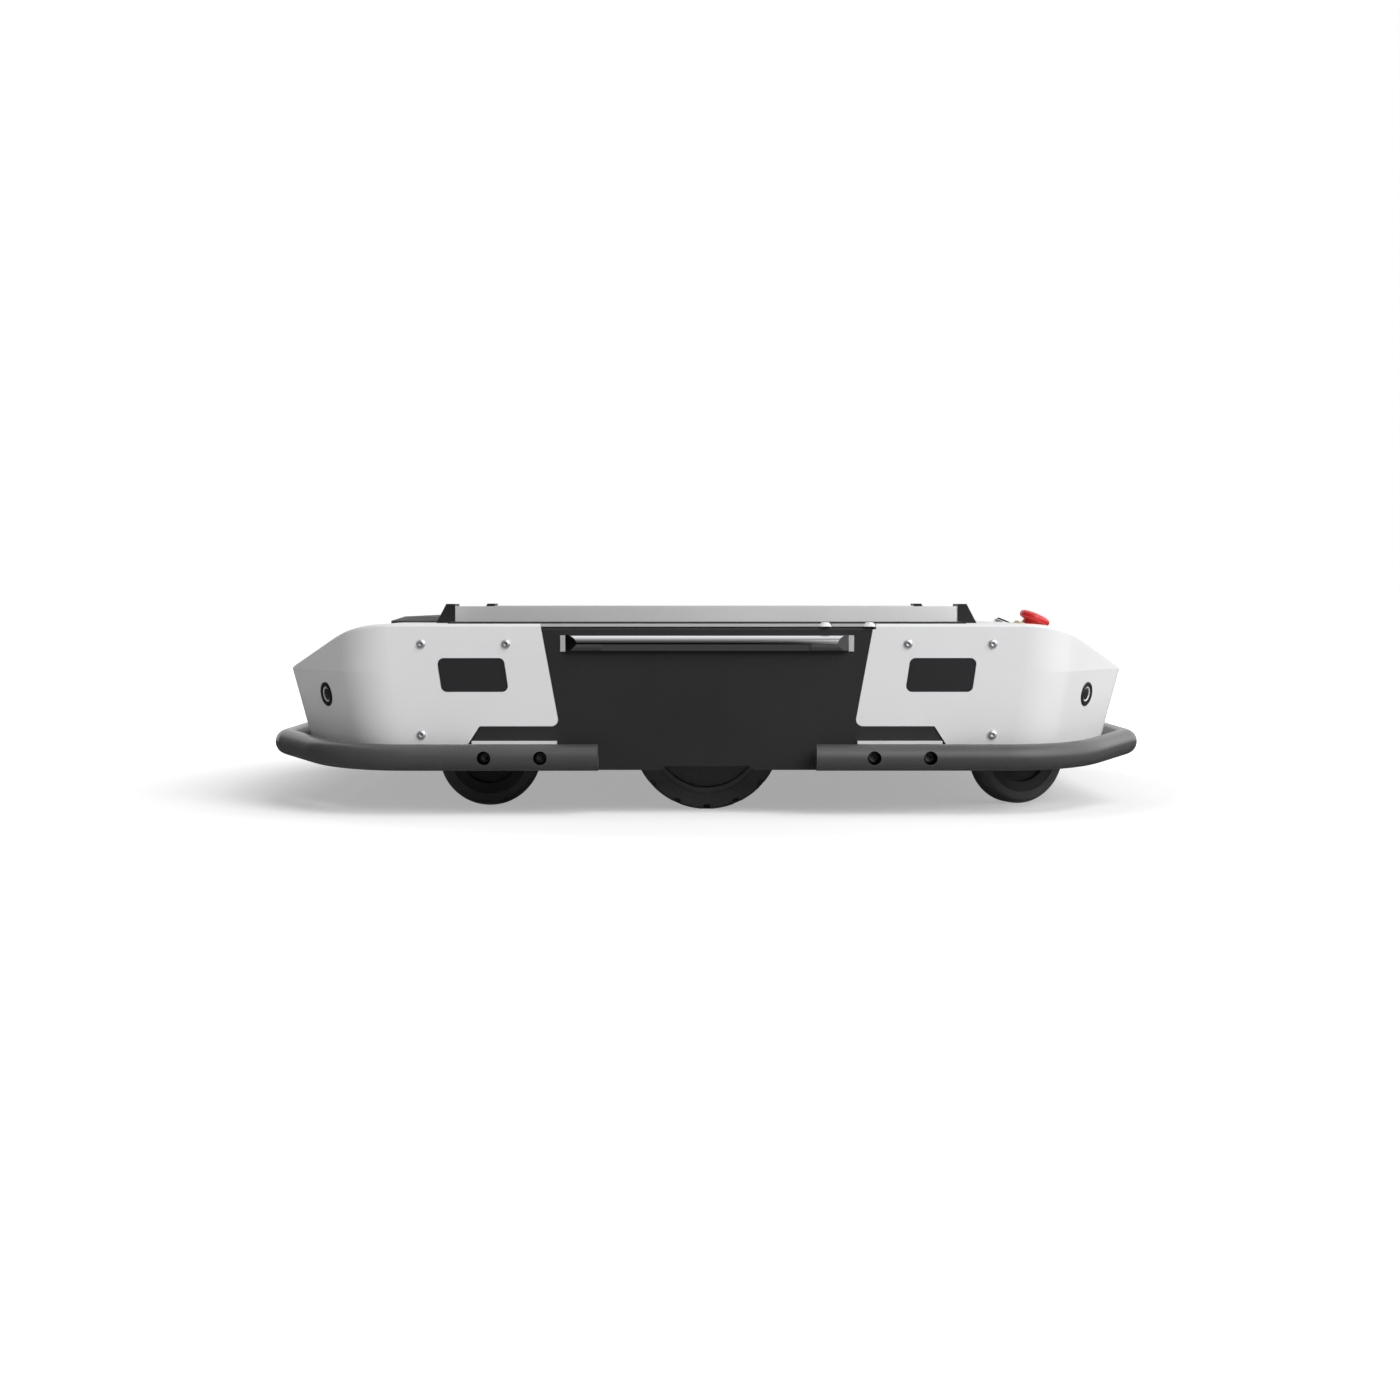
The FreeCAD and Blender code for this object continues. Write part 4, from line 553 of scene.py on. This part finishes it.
def addCard(name, points, glow):
    # a stage grid that only reflections see; glow gives its strength from the Object coordinates
    rows, columns = points.shape[:2]
    here = np.arange(rows * columns).reshape(rows, columns)
    quads = np.stack([here[:-1, :-1], here[:-1, 1:], here[1:, 1:], here[1:, :-1]], axis=-1).reshape(-1, 4)
    mesh = bpy.data.meshes.new(name)
    mesh.from_pydata(points.reshape(-1, 3).tolist(), [], quads.tolist())
    card = bpy.data.objects.new(name, mesh)
    bpy.context.scene.collection.objects.link(card)
    finish = bpy.data.materials.new(name + "Fade")
    finish.use_nodes = True
    tree = finish.node_tree
    tree.nodes.clear()
    place = put(tree, "ShaderNodeTexCoord").outputs["Object"]
    light = put(tree, "ShaderNodeEmission", {"Strength": glow(tree, place)}).outputs[0]
    put(tree, "ShaderNodeOutputMaterial", {"Surface": light})
    mesh.materials.append(finish)
    card.visible_camera = card.visible_diffuse = card.visible_shadow = False
    card.visible_transmission = card.visible_volume_scatter = False


def wallGlow(tree, place):
    # a dim foot, black above it, then the square of the angle's share of the fade, brighter towards the key lamp
    across, _, height = put(tree, "ShaderNodeSeparateXYZ", {0: place}).outputs
    foot = spread(tree, height, cardLook["footLow"], cardLook["footHigh"], cardLook["footGlow"], 0.0)
    angle = sums(tree, "ARCTAN2", height, cardLook["reach"])
    fade = spread(tree, angle, math.radians(cardLook["dark"]), math.radians(cardLook["clear"]), 0.0, 1.0)
    opened = spread(tree, across, cardLook["openStart"], cardLook["openEnd"], 0.0, 1.0)
    above = spread(
        tree, height, cardLook["openFoot"], cardLook["openTop"], cardLook["openLow"], cardLook["openGlow"])
    upper = sums(tree, "MAXIMUM", sums(tree, "MULTIPLY", fade, fade), sums(tree, "MULTIPLY", opened, above))
    return sums(tree, "ADD", foot, upper)


def groundGlow(tree, place):
    away = put(tree, "ShaderNodeVectorMath", {0: place}, operation="LENGTH").outputs["Value"]
    return spread(tree, away, cardLook["floorNear"], cardLook["floorFar"], cardLook["floorGlow"], 0.0)


def roofGlow(tree, place):
    forth = put(tree, "ShaderNodeSeparateXYZ", {0: place}).outputs["Y"]
    return spread(tree, forth, cardLook["roofStart"], cardLook["roofEnd"], cardLook["roofDim"], 1.0)


def buildCards():
    # the wall is a part of a drum: sine and cosine of the angle times the reach, over the height
    turn = np.radians(np.linspace(cardLook["right"], cardLook["left"], cardLook["steps"]))
    height = np.linspace(0.0, cardLook["top"], 2)
    across, up = np.meshgrid(cardLook["reach"] * np.sin(turn), height)
    forth, _ = np.meshgrid(cardLook["reach"] * np.cos(turn), height)
    addCard("wallCard", np.stack([across, forth, up], axis=-1), wallGlow)
    across, forth = np.meshgrid(cardLook["floorSpan"], cardLook["floorSpan"])
    addCard("groundCard", np.stack([across, forth, np.full_like(across, cardLook["floorHeight"])], axis=-1), groundGlow)
    across, forth = np.meshgrid(cardLook["roofAcross"], cardLook["roofForth"])
    addCard("roofCard", np.stack([across, forth, np.full_like(across, cardLook["top"])], axis=-1), roofGlow)


def buildLamps():
    for name, look in lamps.items():
        data = bpy.data.lights.new(name, "AREA")
        data.energy, data.size = look["watts"], look["size"]
        lamp = bpy.data.objects.new(name, data)
        bpy.context.scene.collection.objects.link(lamp)
        lamp.location = look["place"]
        aim = Vector(lampAim) - lamp.location
        lamp.rotation_euler = aim.to_track_quat("-Z", "Y").to_euler()
        lamp.visible_camera = False
        lamp.visible_glossy = look["shines"]


def buildCamera():
    data = bpy.data.cameras.new("camera")
    data.sensor_width, data.lens = cameraLook["sensor"], cameraLook["lens"]
    camera = bpy.data.objects.new("camera", data)
    bpy.context.scene.collection.objects.link(camera)
    camera.location = cameraLook["place"]
    down, right = math.radians(90 - cameraLook["down"]), math.radians(180 - cameraLook["right"])
    camera.rotation_euler = (down, 0.0, right)
    bpy.context.scene.camera = camera


buildFloor()
buildWorld()
buildCards()
buildLamps()
buildCamera()
bpy.context.scene.view_settings.view_transform = "Standard"
print("floor, world, cards, lamps and camera set")
